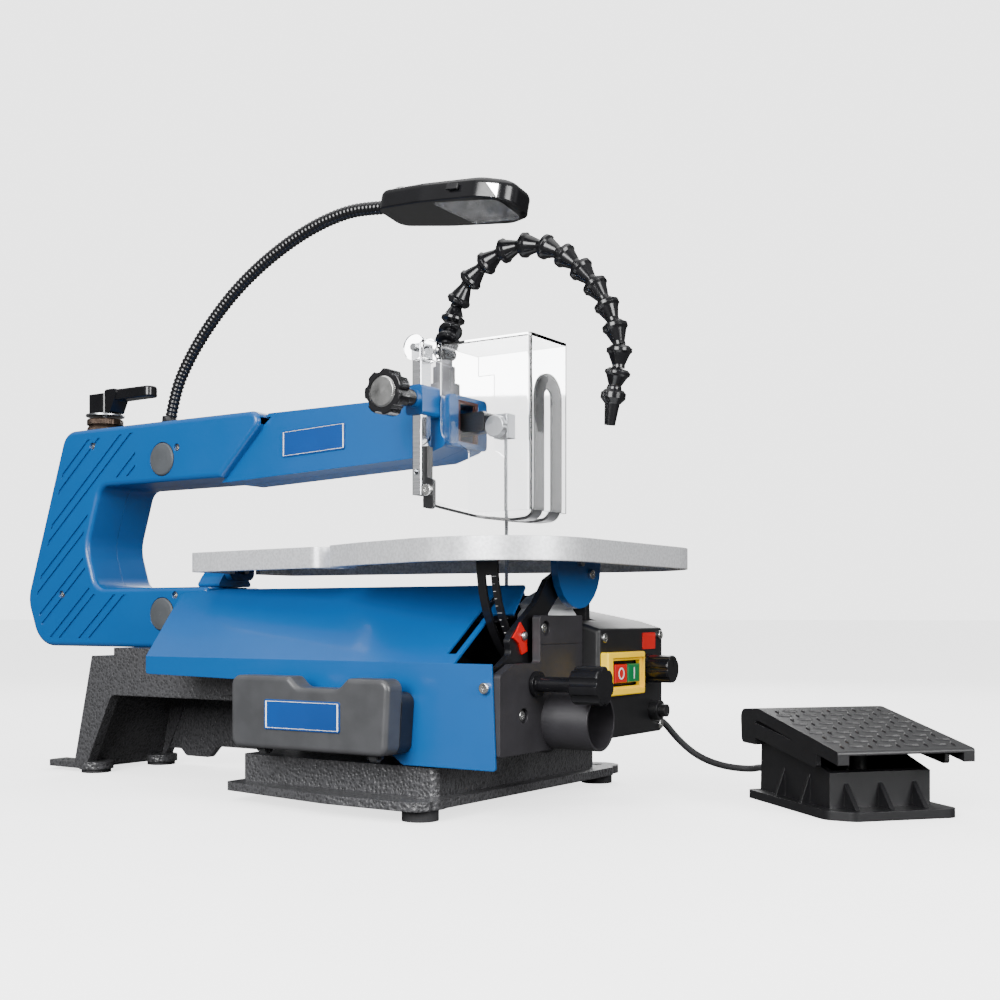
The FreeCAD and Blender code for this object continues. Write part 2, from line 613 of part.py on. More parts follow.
def control_box():
    """Black plastic case of the motor's control, with a sloping roof."""
    y0, y1 = BOX_Y
    shell = slab([(-8, BOX_Z[0], 3), (BOX_X, BOX_Z[0], 3), (BOX_X, BOX_Z[1], 2), (58, 127, 4),
                  (-8, 139, 3)],
                 y0, y1, "y")
    shell = soften(shell, 3, lambda e: along(e, "z") and e.BoundBox.XMin > BOX_X - 1)
    inside = slab([(-4, BOX_Z[0] + 3), (BOX_X - 3, BOX_Z[0] + 3), (BOX_X - 3, BOX_Z[1] - 4), (57, 123),
                   (-4, 135)],
                  y0 + 3, y1 - 3, "y")
    shell = shell.cut(inside)
    shell = shell.cut(box(-12, 53, -2, 36, 40, 145))
    shell = shell.cut(rod((60, KNOB_Y, 93), (80, KNOB_Y, 93), 4.3))
    shell = shell.cut(rod((60, 80, 62.5), (80, 80, 62.5), 5.2))
    shell = shell.cut(box(BOX_X - 4, BOX_X + 1, 10, 56, 80, 102))
    shell = shell.cut(rod((BOX_EXIT[0], y1 - 5, BOX_EXIT[1]), (BOX_EXIT[0], y1 + 1, BOX_EXIT[1]), 3.6))
    return shell


def box_screws():
    spots = [((BOX_X + 0.05, 6, 116), (1, 0, 0)), ((BOX_X + 0.05, 91, 117), (1, 0, 0)),
             ((BOX_X + 0.05, 92, 51.5), (1, 0, 0))]
    spots += [((59.05, y, z), (1, 0, 0)) for y, z in PLATE_SCREWS]
    return group([screw(spot, out, 3.3, 2.0, 0.01) for spot, out in spots])


def warning_label():
    return slab([(64, 107, 1), (84, 107, 1), (84, 119, 1), (64, 119, 1)], BOX_X + 0.05, BOX_X + 0.6, "x")


def switch_frame():
    """Yellow surround of the two push buttons."""
    frame = slab([(2, 76, 1.5), (57.5, 76, 1.5), (57.5, 106, 1.5),
                  (2, 106, 1.5)], BOX_X + 0.05, BOX_X + 6, "x")
    frame = soften(frame, 1.2, lambda e: e.BoundBox.XMin > BOX_X + 5.9)
    frame = frame.cut(box(BOX_X + 3, BOX_X + 10, 9, 57, 80, 102))
    return frame.cut(box(BOX_X - 2, BOX_X + 10, 12, 54, 82, 100))


def switch_body():
    body = box(BOX_X - 22, BOX_X - 1.5, 12.3, 53.7, 82.3, 99.7)
    return body.cut(box(BOX_X - 9, BOX_X + 1, 14, 52, 84, 98))


def push_button(y0, y1):
    button = box(BOX_X - 6.5, BOX_X + 4.6, y0, y1, 84.5, 97.5)
    return soften(button, 1.2, lambda e: e.BoundBox.XMin > BOX_X + 4.5)


def speed_knob():
    body = placed(lobed(10.0, 8, 1.2, 0, 18), (BOX_X + 4, KNOB_Y, 93), (1, 0, 0))
    grip = placed(rod((0, 0, 0), (0, 0, 2), 10.8), (BOX_X + 2, KNOB_Y, 93), (1, 0, 0))
    mark = box(BOX_X + 21, BOX_X + 22.4, KNOB_Y - 0.6, KNOB_Y + 0.6, 95, 102)
    body = body.fuse(grip).cut(mark)
    return body.fuse(rod((BOX_X - 12, KNOB_Y, 93), (BOX_X + 3, KNOB_Y, 93), 4.0))


def speed_control():
    return tube((BOX_X - 14, KNOB_Y, 93), (BOX_X - 3, KNOB_Y, 93), 9, 4.3)


def reset_button():
    cap = rod((BOX_X + 4.5, 80, 62.5), (BOX_X + 12, 80, 62.5), 4.6)
    return cap.fuse(rod((BOX_X - 8, 80, 62.5), (BOX_X + 5, 80, 62.5), 3.6))


def reset_ring():
    return tube((BOX_X + 0.05, 80, 62.5), (BOX_X + 7, 80, 62.5), 7.2, 4.9)


def air_pump():
    """Pale bellows that blows sawdust off the line of cut. A lug fixes it to the steel web."""
    dome = spin([(0, 0), (20.5, 0), (20.5, 4), (18, 8), (19.5, 11), (15, 16), (8, 20), (0, 21)],
                (31, 4, 128), (0, 0, 1))
    return dome.fuse(box(24, 36, 18, 29.95, 128, 132))


# ---- table ----
def table_outline():
    near = [(TABLE_REAR_X, -60, 8), (-108, -78, 10), (-103, -60, 3), (-97, -60, 3), (-94, -84, 10),
            (-50, -104, 60), (20, -TABLE_HALF, 60), (TABLE_FRONT_X, -TABLE_HALF, TABLE_CORNER)]
    far = [(TABLE_FRONT_X, TABLE_HALF, TABLE_CORNER), (20, TABLE_HALF, 60), (-50, 104, 60),
           (-94, 84, 10), (TABLE_REAR_X, 60, 8)]
    return near + far


def table_top():
    top, rim = TABLE_TOP_Z, TABLE_TOP_Z - TABLE_RIM
    body = slab(table_outline(), rim, top)
    inner = [(TABLE_REAR_X + 5, -54, 5), (-112, -70, 6), (-112, -54, 6), (-90, -54, 6), (-88, -80, 6),
             (-50, -98, 55), (20, -TABLE_HALF + 6, 54),
             (TABLE_FRONT_X - 6, -TABLE_HALF + 6, TABLE_CORNER - 6),
             (TABLE_FRONT_X - 6, TABLE_HALF - 6, TABLE_CORNER - 6), (20, TABLE_HALF - 6, 54),
             (-50, 98, 55),
             (-94, 78, 8), (TABLE_REAR_X + 5, 54, 5)]
    body = body.cut(slab(inner, rim - 1, top - TABLE_PLATE))
    body = body.cut(box(TABLE_REAR_X - 1, TABLE_REAR_X + 6, -14.5, 14.5, rim - 1, top - TABLE_PLATE))
    for x in (-180, -40):
        rib = box(x - 1.5, x + 1.5, -62, 62, top - TABLE_PLATE - 3, top - TABLE_PLATE + 1)
        body = body.fuse(rib)
    body = body.cut(rod((0, 0, rim), (0, 0, top + 1), 16))
    body = body.cut(rod((0, 0, top - 3), (0, 0, top + 1), 20))
    body = body.cut(box(-60, 0, -1.2, 1.2, rim - 1, top + 1))
    for i in range(5):
        for side in (-1, 1):
            y = side * (30 + 18 * i)
            if abs(y) < 90:
                body = body.cut(box(-30, 60, y - 0.8, y + 0.8, top - 0.6, top + 1))
    return body


def table_insert():
    disc = rod((0, 0, TABLE_TOP_Z - 2.9), (0, 0, TABLE_TOP_Z - 0.1), 19.8)
    disc = disc.cut(slab([(-4.5, -2.5, 2), (2.5, -2.5, 2), (2.5, 6.8, 2), (-4.5, 6.8, 2)], 170, 190))
    disc = disc.cut(box(-25, 0, -1.2, 1.2, 170, 190))
    for i in range(6):
        angle = math.radians(60 * i)
        x, y = 13 * math.cos(angle), 13 * math.sin(angle)
        disc = disc.cut(rod((x, y, 170), (x, y, 190), 2))
    return disc


def front_trunnion():
    """Blue half round bracket under the table's front edge. It turns on the tilt pin."""
    under = TABLE_TOP_Z - TABLE_PLATE
    half = 30.0
    bow = [(half * math.cos(math.radians(a)), TILT_Z - 2 + half * math.sin(math.radians(a)))
           for a in range(180, 361, 15)]
    plate = slab(bow + [(half, under), (-half, under)], 54.5, 59.5, "x")
    flange = box(59, 76, -half, half, under - 4, under)
    plate = plate.fuse(flange)
    return plate.cut(rod((50, 0, TILT_Z), (64, 0, TILT_Z), 3.05))


def tilt_pins():
    front = rod((44, 0, TILT_Z), (62.5, 0, TILT_Z), 3.0)
    rear = rod((-292, 0, TILT_Z), (-251, 0, TILT_Z), 3.0)
    return group([front, rear])


def trunnion_screws():
    spots = [((59.6, 15, 160), (1, 0, 0)), ((43, -76, 169.9), (0, 0, -1)), ((43, -64, 169.9), (0, 0, -1)),
             ((-246, -10, 170), (0, -1, 0))]
    return group([screw(spot, out, 3.6, 2.4, 0.01) for spot, out in spots])


def rear_trunnion():
    under = TABLE_TOP_Z - TABLE_PLATE
    ear = slab([(-14, TILT_Z - 8, 6), (14, TILT_Z - 8, 6), (14, under), (-14, under)], -262, -256, "x")
    strap = box(-257, -235, -14, 14, under - 4, under)
    ear = ear.fuse(strap)
    return ear.cut(rod((-270, 0, TILT_Z), (-230, 0, TILT_Z), 3.05))


def rear_support():
    """Fixed blue block on the lower housing that carries the rear tilt pin."""
    block = slab([(-20, 154.8, 2), (20, 154.8, 2), (14, 163, 3), (6, 172, 4), (-6, 172, 4),
                  (-14, 163, 3)],
                 -288, -264, "x")
    return block.cut(rod((-300, 0, TILT_Z), (-230, 0, TILT_Z), 3.05))


def tilt_scale():
    """Curved and slotted strap under the table. It is centred on the tilt axis."""
    arc = tube((30, 0, TILT_Z), (46, 0, TILT_Z), 83, 81)
    slot = tube((36, 0, TILT_Z), (41, 0, TILT_Z), 84, 80)
    keep = slab([(-90, 170), (-60, 170), (0, TILT_Z), (-52, 84), (-90, 96)], 20, 60, "x")
    window = slab([(-90, 156), (0, TILT_Z), (-64, 90), (-90, 96)], 20, 60, "x")
    arc = arc.common(keep).cut(slot.common(window))
    foot = box(30, 56, -83, -56, 170, TABLE_TOP_Z - TABLE_PLATE)
    return arc.fuse(foot)


def tilt_lock():
    """Long handle with a fluted end that clamps the tilt."""
    grip = placed(lobed(12.5, 7, 1.9, 0, 20), (93, -62, 87), (1, 0, 0))
    shaft = rod((52.5, -62, 87), (94, -62, 87), 5.0)
    return grip.fuse(shaft).fuse(rod((PLATE_X + 0.6, -62, 87), (PLATE_X + 3, -62, 87), 8.5))


# ---- hold-down post, guard and head ----
def head_bracket():
    """Blue clamp block on the arm's left cheek. The post slides through it."""
    lug = soften(box(-54, -39.5, -47, -24, 272, 293), 2.5, lambda e: along(e, "y"))
    lug = lug.cut(box(POST_X - 4.3, POST_X + 4.3, POST_Y - 6.3, POST_Y + 6.3, 250, 300))
    boss = rod((POST_X, -52, POST_KNOB_Z), (POST_X, -47, POST_KNOB_Z), 6)
    lug = lug.fuse(boss).cut(rod((POST_X, -53, POST_KNOB_Z), (POST_X, -44, POST_KNOB_Z), 3.5))
    return lug


def arm_front_cover():
    """Blue cap on the arm's front, with the window that the moving arm works in."""
    cap = box(ARM_FRONT_X + 0.05, ARM_FRONT_X + 4, -ARM_HALF, ARM_HALF, 252, 289)
    cap = soften(cap, 4, lambda e: along(e, "x"))
    return cap.cut(box(-40, -20, -13, 13, 256, 286))


def window_bellows():
    """Dark rubber lip round the window."""
    lip = box(ARM_FRONT_X + 1, ARM_FRONT_X + 3.4, -12.9, 12.9, 256.1, 285.9)
    return lip.cut(box(-40, -20, -9.5, 9.5, 256.6, 283.8))


def hold_down_post():
    post = box(POST_X - 4, POST_X + 4, POST_Y - 6, POST_Y + 6, 216, 322)
    post = soften(post, 0.8, lambda e: along(e, "z"))
    return post.cut(rod((POST_X, -46, 232), (POST_X, -40, 232), 2))


def post_knob():
    """Lobed knob on a long neck. Its face is recessed for a pale cap."""
    back, front = -72.0, -84.0
    knob = placed(lobed(15.8, 7, 2.4, 0, back - front), (POST_X, back, POST_KNOB_Z), (0, -1, 0))
    stem = rod((POST_X, -45.35, POST_KNOB_Z), (POST_X, back - 0.5, POST_KNOB_Z), 3.4)
    neck = rod((POST_X, -53, POST_KNOB_Z), (POST_X, back - 0.5, POST_KNOB_Z), 6)
    recess = rod((POST_X, front - 2, POST_KNOB_Z), (POST_X, front + 2.5, POST_KNOB_Z), 11)
    return knob.fuse(stem).fuse(neck).cut(recess)


def post_knob_cap():
    return spin([(0, 0), (10.8, 0), (10.8, 2.2), (9.6, 3.2), (0, 3.6)], (POST_X, -81.6, POST_KNOB_Z),
                (0, -1, 0))


def hold_down_foot():
    """Black strap: a leg, a fork that passes round the blade, and an arch in front of it."""
    leg = slab([(POST_X + 4.1, 207), (POST_X + 13, 205, 3), (POST_X + 13, 226, 2), (POST_X + 8, 228),
                (POST_X + 8, 250), (POST_X + 4.1, 250)], POST_Y - 4, POST_Y - 1, "y")
    backing = box(POST_X + 4.1, POST_X + 6, POST_Y - 4, POST_Y + 5, 210, 250)
    side_view = [(-42, 211), (-30, 206, 30), (-8, 199, 60), (16, 197, 20), (33, 198, 9), (33, 214),
                 (31, 214),
                 (31, 200.2, 7), (16, 199, 20), (-8, 201, 60), (-30, 208, 30), (-42, 213)]
    plan = [(-42, -43), (-33, -43, 6), (-10, -22, 20), (14, -17, 10), (34, -16), (34, -4.5),
            (-4, -4.5, 4),
            (-4, 6.5, 4), (34, 6.5), (34, 19.5), (6, 18, 14), (-18, 6, 14), (-38, -28, 6), (-42, -32)]
    strap = slab(side_view, -50, 30, "y").common(slab(plan, 190, 220))
    arch = slab([(-16, 212), (-4.5, 212), (-4.5, 289, 5.5), (6.5, 289, 5.5), (6.5, 212), (19.5, 212),
                 (19.5, 300, 17), (-16, 300, 17)], 31, 33, "x")
    return leg.fuse(backing).fuse(strap).fuse(arch).removeSplitter()


def foot_bolt():
    return screw((POST_X + 8.5, POST_Y - 4.05, 219), (0, -1, 0), 4.2, 3.0, 0.01)


def guard_ears(hinge):
    y0, y1 = POST_Y - 9.5, POST_Y + 9.5
    ears = []
    for low in (y0, y1 - 2.5):
        ears.append(rod((POST_X, low, hinge), (POST_X, low + 2.5, hinge), 9))
    return ears


def guard_shield():
    """Clear cover round the blade, open at the back and underneath."""
    (x0, x1), (y0, y1), (z0, z1) = GUARD_X, GUARD_Y, GUARD_Z
    outer = box(x0, x1, y0, y1, z0, z1)
    outer = soften(outer, 3, lambda e: along(e, "z") and e.BoundBox.XMin > x1 - 1)
    shell = outer.cut(box(x0 - 1, x1 - 2, y0 + 2, y1 - 2, z0 - 1, z1 - 2))
    cut = slab([(x0 - 1, z0 - 1), (-14, z0 - 1), (-14, 246, 3), (-22, 252, 8), (x0, 254, 12),
                (x0, 270), (x0 - 1, 270)], y0 - 1, y1 + 1, "y")
    shell = shell.cut(cut)
    shell = shell.cut(box(x0 - 1, -24, 0, y1 + 1, z0, 308))
    ears = guard_ears(GUARD_HINGE_Z)
    for ear in ears:
        shell = shell.fuse(ear)
    yoke = box(POST_X + 5.8, x0 + 1, POST_Y - 9.5, y0 + 2, GUARD_HINGE_Z - 8, z1)
    shell = shell.fuse(yoke)
    return shell.cut(rod((POST_X, -60, GUARD_HINGE_Z), (POST_X, 0, GUARD_HINGE_Z), 2.55)).removeSplitter()


def guard_pin():
    pin = rod((POST_X, POST_Y - 10.5, GUARD_HINGE_Z), (POST_X, POST_Y + 10.5, GUARD_HINGE_Z), 2.5)
    return pin


# ---- air hose ----
def hose_route():
    """Bends of the jointed hose, from its fitting to its nozzle, in a plane beside the guard."""
    rise = [Vector(-64, 14, 324.3), Vector(-65.5, 19, 335.5), Vector(-68, 27, 344.5),
            Vector(-70.5, 33.5, 354)]
    plane = [(-68, 368), (-58, 383), (-44, 394), (-28, 402), (-10, 404.5), (8, 401.5), (24, 393.5),
             (38, 382), (50, 369), (60, 354), (67, 338), (71.5, 321), (70.5, 305), (67, 291)]
    return rise + [Vector(x, HOSE_Y, z) for x, z in plane]


def hose_bead(start, end):
    """One link of the hose: a bell at its start that narrows to a waist at its end."""
    run = end - start
    length = run.Length - 0.4
    waist, bell = 4.6, 9.2
    profile = [(2.6, 0), (bell * 0.78, 0), (bell, 0.12 * length), (bell, 0.26 * length),
               (bell * 0.84, 0.36 * length), (waist, 0.84 * length), (waist, length), (2.6, length)]
    return spin(profile, tuple(start), tuple(run))


def hose_links(first, last):
    route = hose_route()
    beads = [hose_bead(route[i], route[i + 1]) for i in range(first, last)]
    beads[-1] = beads[-1].fuse(Part.makeSphere(HOSE_BALL_R, route[last]))
    return group(beads)


def air_nozzle():
    start = hose_route()[-1]
    tip = Vector(63.6, HOSE_Y, 266)
    reach = (tip - start).Length
    profile = [(2.0, 0.6), (7.2, 0.6), (9.0, 2.6), (9.0, 6.5), (5.4, 10.5), (3.9, reach), (2.0, reach)]
    return spin(profile, tuple(start), tuple(tip - start)).cut(
        Part.makeSphere(HOSE_BALL_R + HOSE_BALL_GAP, start))


def hose_fitting():
    """Stepped grey fitting on the arm that the hose stands in."""
    x, y = HOSE_BASE
    return spin([(0, 289), (12, 289), (12, 303), (8.5, 303), (8.5, 316), (6.5, 316), (6.5, 320.6),
                 (0, 320.6)],
                (x, y, 0), (0, 0, 1))


# ---- lamp ----
def neck_route():
    return [Vector(LAMP_BASE_X, 0, 293), Vector(-334, 0, 320), Vector(-317, 0, 347), Vector(-292, 0, 374),
            Vector(-260, 0, 400), Vector(-222, 0, 421), Vector(-182, 0, 436), Vector(-146, 0, 442.5),
            Vector(-120, 0, 441), Vector(-97, 0, 438)]


def round_path(points, share=0.45):
    """Straight runs joined by tangent arcs through the bends of a route."""
    edges = []
    last = points[0]
    for before, here, after in zip(points, points[1:], points[2:]):
        back, ahead = (before - here), (after - here)
        half = back.getAngle(ahead) / 2
        reach = share * min(back.Length, ahead.Length)
        back.normalize()
        ahead.normalize()
        radius = reach * math.tan(half)
        middle = (back + ahead).normalize()
        bend = here + middle * (radius / math.sin(half) - radius)
        enter, leave = here + back * reach, here + ahead * reach
        edges.append(Part.LineSegment(last, enter).toShape())
        edges.append(Part.Arc(enter, bend, leave).toShape())
        last = leave
    edges.append(Part.LineSegment(last, points[-1]).toShape())
    return Part.Wire(edges)


def swept(points, radius, share=0.45):
    path = round_path(points, share)
    start = points[0]
    section = Part.Wire([Part.Circle(start, points[1] - points[0], radius).toShape()])
    return path.makePipeShell([section], True, False), path


def lamp_neck():
    neck, path = swept(neck_route(), 5.0)
    neck = neck.fuse(rod((LAMP_BASE_X, 0, 291.3), (LAMP_BASE_X, 0, 296), 7.5))
    return neck.cut(lamp_tilt_pin(1.56))


def lamp_head():
    """Long flat lamp body, sloping to the front and leaning to the motor side."""
    body = slab([(-104, -17, 10), (-60, -23, 60), (-8, -25, 24), (14, -15, 15), (14, 15, 15),
                 (-8, 25, 24),
                 (-60, 23, 60), (-104, 17, 10)], -7, 9)
    body = soften(body, 5.5, lambda e: e.BoundBox.ZMin > 8.9)
    body = soften(body, 1.2, lambda e: e.BoundBox.ZMax < -6.9)
    hump = rod((-88, 0, 8), (-88, 0, 12), 13)
    hump = soften(hump, 3, lambda e: e.BoundBox.ZMin > 11.9)
    body = body.fuse(hump)
    body = body.cut(slab(lens_outline(0.3), -8, 4))
    body = body.cut(rod((-110, 0, 1), (-96, 0, 1), 6.5))
    return lamp_place(body).fuse(lamp_tilt_pin(1.5))


def lens_outline(gap):
    """Outline of the lens, or of its opening when a gap is added."""
    return [(-50 - gap, -20 - gap, 3), (5 + gap, -18 - gap, 9), (5 + gap, 18 + gap, 9),
            (-38 - gap, 20 + gap, 3)]


def lamp_tilt_pin(radius):
    x, z = LAMP_PIVOT
    return rod((x, -6.7, z), (x, 6.7, z), radius)


def lamp_place(shape):
    shape.rotate(Vector(0, 0, 0), Vector(1, 0, 0), -8)
    shape.rotate(Vector(-104, 0, 0), Vector(0, 1, 0), 6)
    shape.translate(Vector(0, 0, 437.5))
    return shape


def lamp_lens():
    return lamp_place(slab(lens_outline(0), -6.8, -4.8))


def lamp_leds():
    leds = []
    for i in range(5):
        for j in range(2):
            leds.append(spin([(0, 3.9), (2.5, 3.9), (2.5, 1.6), (1.6, 0.4), (0, 0)],
                             (-36 + 8.5 * i, -7 + 14 * j, 0), (0, 0, 1)))
    return lamp_place(group(leds))


def lamp_switch():
    button = box(-34, -24, -27.2, -25.2, -1, 3)
    return lamp_place(soften(button, 0.6, lambda e: along(e, "z")))


# ---- storage case ----
def case_outline():
    return [(-138, 42, 7), (-5, 42, 7), (-2, 91, 7), (-36, 91, 5), (-44, 84, 9), (-78, 84, 9),
            (-86, 91, 5),
            (-138, 91, 7)]


def storage_tray():
    """Back half of the tool case, screwed to the left panel."""
    low, high = PANEL_Y - 13, PANEL_Y - 0.3
    tray = slab([(-138, 42, 7), (-5, 42, 7), (-2, 82, 7), (-138, 82, 7)], low, high, "y")
    for x in CASE_HINGES:
        tray = tray.cut(box(x - 4, x + 4, low - 1, low + 3.5, 41, 44))
    return tray.cut(box(-133, -9, low - 1, high - 2, 47, 77))


def storage_lid():
    """Front half of the tool case. It folds down on two pegs at its lower edge."""
    low, high = -134.0, PANEL_Y - 13.4
    lid = slab(case_outline(), low, high, "y")
    lid = soften(lid, 3.5, lambda e: e.BoundBox.YMax < low + 0.01)
    lid = lid.cut(box(-132, -10, low + 3, high + 1, 48, 80))
    for x in CASE_HINGES:
        lid = lid.cut(rod((x - 7, -119.2, 40), (x + 7, -119.2, 40), 2.0))
        lid = lid.fuse(tube((x - 3, -119.2, 40), (x + 3, -119.2, 40), 3.4, 1.65))
    return lid


def case_pegs():
    pegs = []
    for x in CASE_HINGES:
        pegs.append(rod((x - 6, -119.2, 40), (x + 6, -119.2, 40), 1.6).fuse(
            box(x - 6, x - 4, -119, PANEL_Y - 0.3, 38.8, 41.2)))
    return group(pegs)


def case_badge():
    return slab([(-106, 55.5, 1.5), (-41, 55.5, 1.5), (-41, 75.5, 1.5),
                 (-106, 75.5, 1.5)], -134.8, -134.05, "y")


# ---- mains inlet ----
def mains_gland():
    gland = spin([(3.5, 0), (9, 0), (9, 4), (7, 5), (6, 18), (3.5, 18)], (-60, 114.3, MOTOR_Z), (0, 1, 0))
    return gland


# ---- foot switch ----
def pedal_place(shape):
    """Pedal parts are drawn with the toe edge on X = 0 and the cord end at X = PEDAL_LENGTH."""
    shape.rotate(Vector(0, 0, 0), Vector(0, 0, 1), PEDAL_HEADING)
    shape.translate(Vector(PEDAL_CORNER[0], PEDAL_CORNER[1], 0))
    return shape


def pedal_base():
    length, width = PEDAL_LENGTH, PEDAL_WIDTH
    floor = slab([(0, -width, 8), (length - 2, -width, 6), (length, 0, 3), (14, 0, 10),
                  (0, -14, 10)], 0, 6)
    wall = slab([(22, 6), (length - 4, 6), (length - 6, 52), (length - 22, 52),
                 (22, 29)], -width + 8, -8, "y")
    inside = slab([(26, 9), (length - 8, 9), (length - 10, 60), (26, 60)], -width + 12, -12, "y")
    body = floor.fuse(wall).cut(inside)
    for y in (-20, -width / 2, -width + 20):
        rib = slab([(7, 6), (22, 6), (22, 22)], y - 1.5, y + 1.5, "y")
        body = body.fuse(rib)
    for x in (48, 84):
        rib = slab([(-8, 6), (-1, 6), (-8, 26)], x, x + 3, "x")
        body = body.fuse(rib)
        other = slab([(-width + 8, 6), (-width + 1, 6), (-width + 8, 26)], x, x + 3, "x")
        body = body.fuse(other)
    body = body.cut(rod((length - 12, PEDAL_EXIT_Y, 20), (length + 2, PEDAL_EXIT_Y, 20), 3.6))
    body = body.cut(rod((length - 13, -width, 46), (length - 13, 0, 46), 3.0))
    return pedal_place(body)


def pedal_pin():
    width = PEDAL_WIDTH
    return pedal_place(rod((PEDAL_LENGTH - 13, -width + 1, 46), (PEDAL_LENGTH - 13, -1, 46), 2.95))


def treadle():
    """Ribbed plate hinged at the cord end, with side skirts over the base."""
    length, width = PEDAL_LENGTH, PEDAL_WIDTH
    profile = [(-10, 37.5), (22, 43), (60, 50), (100, 57), (length - 20, 57), (length - 20, 40),
               (length + 2, 40, 4), (length + 4, 64, 7), (length - 24, 66, 20), (-10, 46, 2)]
    plate = slab(profile, -width - 4, 4, "y")
    plate = plate.cut(box(-20, length - 3.5, -width + 4, -4, 20, 43.5))
    plate = plate.cut(slab([(20, 20), (length - 3.5, 20), (length - 3.5, 58.5), (length - 22, 58.5),
                            (20, 42.4)],
                           -width + 4, -4, "y"))
    skirt = slab([(18, 33, 2), (length - 20, 45), (length + 1, 46), (length + 1, 58),
                  (18, 44)], 0.4, 4, "y")
    plate = plate.fuse(skirt)
    other = slab([(18, 33, 2), (length - 20, 45), (length + 1, 46), (length + 1, 58), (18, 44)],
                 -width - 4, -width - 0.4, "y")
    plate = plate.fuse(other)
    plate = plate.cut(rod((length - 13, -width - 0.5, 46), (length - 13, 0.5, 46), 3.05))
    return pedal_place(plate)


def pedal_spring():
    """Return spring under the treadle, as the closed envelope of its coil."""
    return pedal_place(tube((50, -45, 9), (50, -45, 45), 6, 4.4))


def pedal_switch():
    block = box(66, 88, -54, -36, 9, 34)
    return pedal_place(block)


def pedal_gland():
    length = PEDAL_LENGTH
    return pedal_place(tube((length - 9, PEDAL_EXIT_Y, 20), (length + 6, PEDAL_EXIT_Y, 20), 3.6, CORD_R))


def pedal_point(x, y, z):
    turn = math.radians(PEDAL_HEADING)
    return Vector(PEDAL_CORNER[0] + x * math.cos(turn) - y * math.sin(turn),
                  PEDAL_CORNER[1] + x * math.sin(turn) + y * math.cos(turn), z)


def box_gland():
    return spin([(CORD_R, 0), (6, 0), (6, 2), (3.5, 2), (3.5, 5.15), (5.4, 5.15), (4.2, 13),
                 (CORD_R, 13)],
                (BOX_EXIT[0], BOX_Y[1] - 5.1, BOX_EXIT[1]), (0, 1, 0))


def pedal_cord():
    """Lead of the foot switch. It hangs from the control box's far side to the pedal's cord end."""
    x, z = BOX_EXIT
    length = PEDAL_LENGTH
    route = [Vector(x, 90, z), Vector(x, 117, z), Vector(75, 124, 37), Vector(92, 124, 25),
             Vector(108, 134, 18),
             pedal_point(length + 32, PEDAL_EXIT_Y, 16), pedal_point(length + 14, PEDAL_EXIT_Y, 20),
             pedal_point(length - 12, PEDAL_EXIT_Y, 20)]
    cord, path = swept(route, CORD_R - 0.05)
    print(f"pedal cord: {path.Length:.0f} mm")
    return cord


# ---- write the sub-parts ----
def clamp_parts():
    upper_low, lower_low = 257.0, 129.0
    upper = blade_clamp(upper_low, upper_low + 17, 250, BLADE_TOP_Z)
    lower = blade_clamp(lower_low, lower_low + 13, BLADE_TOP_Z - BLADE_LENGTH, 150)
    return upper, lower


upper_clamp, lower_clamp = clamp_parts()
left_shell, right_shell = housing_half(-1), housing_half(1)
links = len(hose_route()) - 1

save("base_casting", base_casting())
save("rubber_feet", rubber_feet())
save("housing_left", left_shell)
save("housing_right", right_shell)
save("pivot_caps", pivot_caps())
save("pivot_pins", group([pivot_pins(), tilt_pins()]))
save("arm_badge", arm_badge())
save("arm_front_cover", arm_front_cover())
save("window_bellows", window_bellows())
save("upper_arm", upper_arm())
save("lower_arm", lower_arm())
save("upper_bush", pivot_bushes(UPPER_PIVOT_Z))
save("lower_bush", pivot_bushes(LOWER_PIVOT_Z))
save("connecting_rod", group([connecting_rod(), connecting_pin()]))
save("tension_rod", group([tension_rod(), tension_washer()]))
save("tension_collar", tension_collar())
save("tension_lever", tension_lever())
save("saw_blade", blade())
save("blade_clamps", group([upper_clamp, lower_clamp]))
save("upper_clamp_screw", clamp_screw(264.5))
save("lower_clamp_screw", clamp_screw(134.5))
save("motor_case", group([motor_can(), motor_end_bell(), motor_stator(), mains_gland()]))
save("motor_rotor", motor_rotor())
save("cooling_fan", cooling_fan())
save("crank_disc", crank_disc())
save("motor_plate", group([motor_plate(), panel_bracket()]))
save("side_panel_left", side_panel_left())
save("side_panel_right", side_panel_right())
save("front_plate", front_plate())
save("dust_port", dust_port())
save("control_box", group([control_box(), box_gland()]))
save("switch_frame", group([switch_frame(), warning_label()]))
save("switch_body", group([switch_body(), speed_control(), reset_ring()]))
save("stop_button", push_button(14.2, 32.6))
save("start_button", push_button(33.4, 51.8))
save("speed_knob", speed_knob())
save("reset_button", reset_button())
save("cover_screws", group([housing_bolts(), panel_screws(), box_screws()]))
save("air_supply", group([air_pump(), hose_fitting()]))
save("trunnion_bracket", group([trunnion_bracket(), tilt_pointer()]))
save("tilt_lock_handle", tilt_lock())
save("table_top", table_top())
save("table_insert", table_insert())
save("table_trunnions", group([front_trunnion(), rear_trunnion(), tilt_scale(), trunnion_screws()]))
save("rear_support", rear_support())
save("head_bracket", head_bracket())
save("hold_down_post", group([hold_down_post(), guard_pin()]))
save("post_knob", group([post_knob(), post_knob_cap()]))
save("hold_down_foot", group([hold_down_foot(), foot_bolt()]))
save("guard_shield", guard_shield())
save("air_hose", hose_links(0, links))
save("air_nozzle", air_nozzle())
save("lamp_neck", lamp_neck())
save("lamp_head", group([lamp_head(), lamp_lens(), lamp_leds()]))
save("lamp_switch", lamp_switch())
save("storage_tray", group([storage_tray(), case_pegs()]))
save("storage_lid", group([storage_lid(), case_badge()]))
save("pedal_base", group([pedal_base(), pedal_pin(), pedal_spring(), pedal_switch(), pedal_gland()]))
save("treadle", treadle())
save("pedal_cord", pedal_cord())
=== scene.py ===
import math

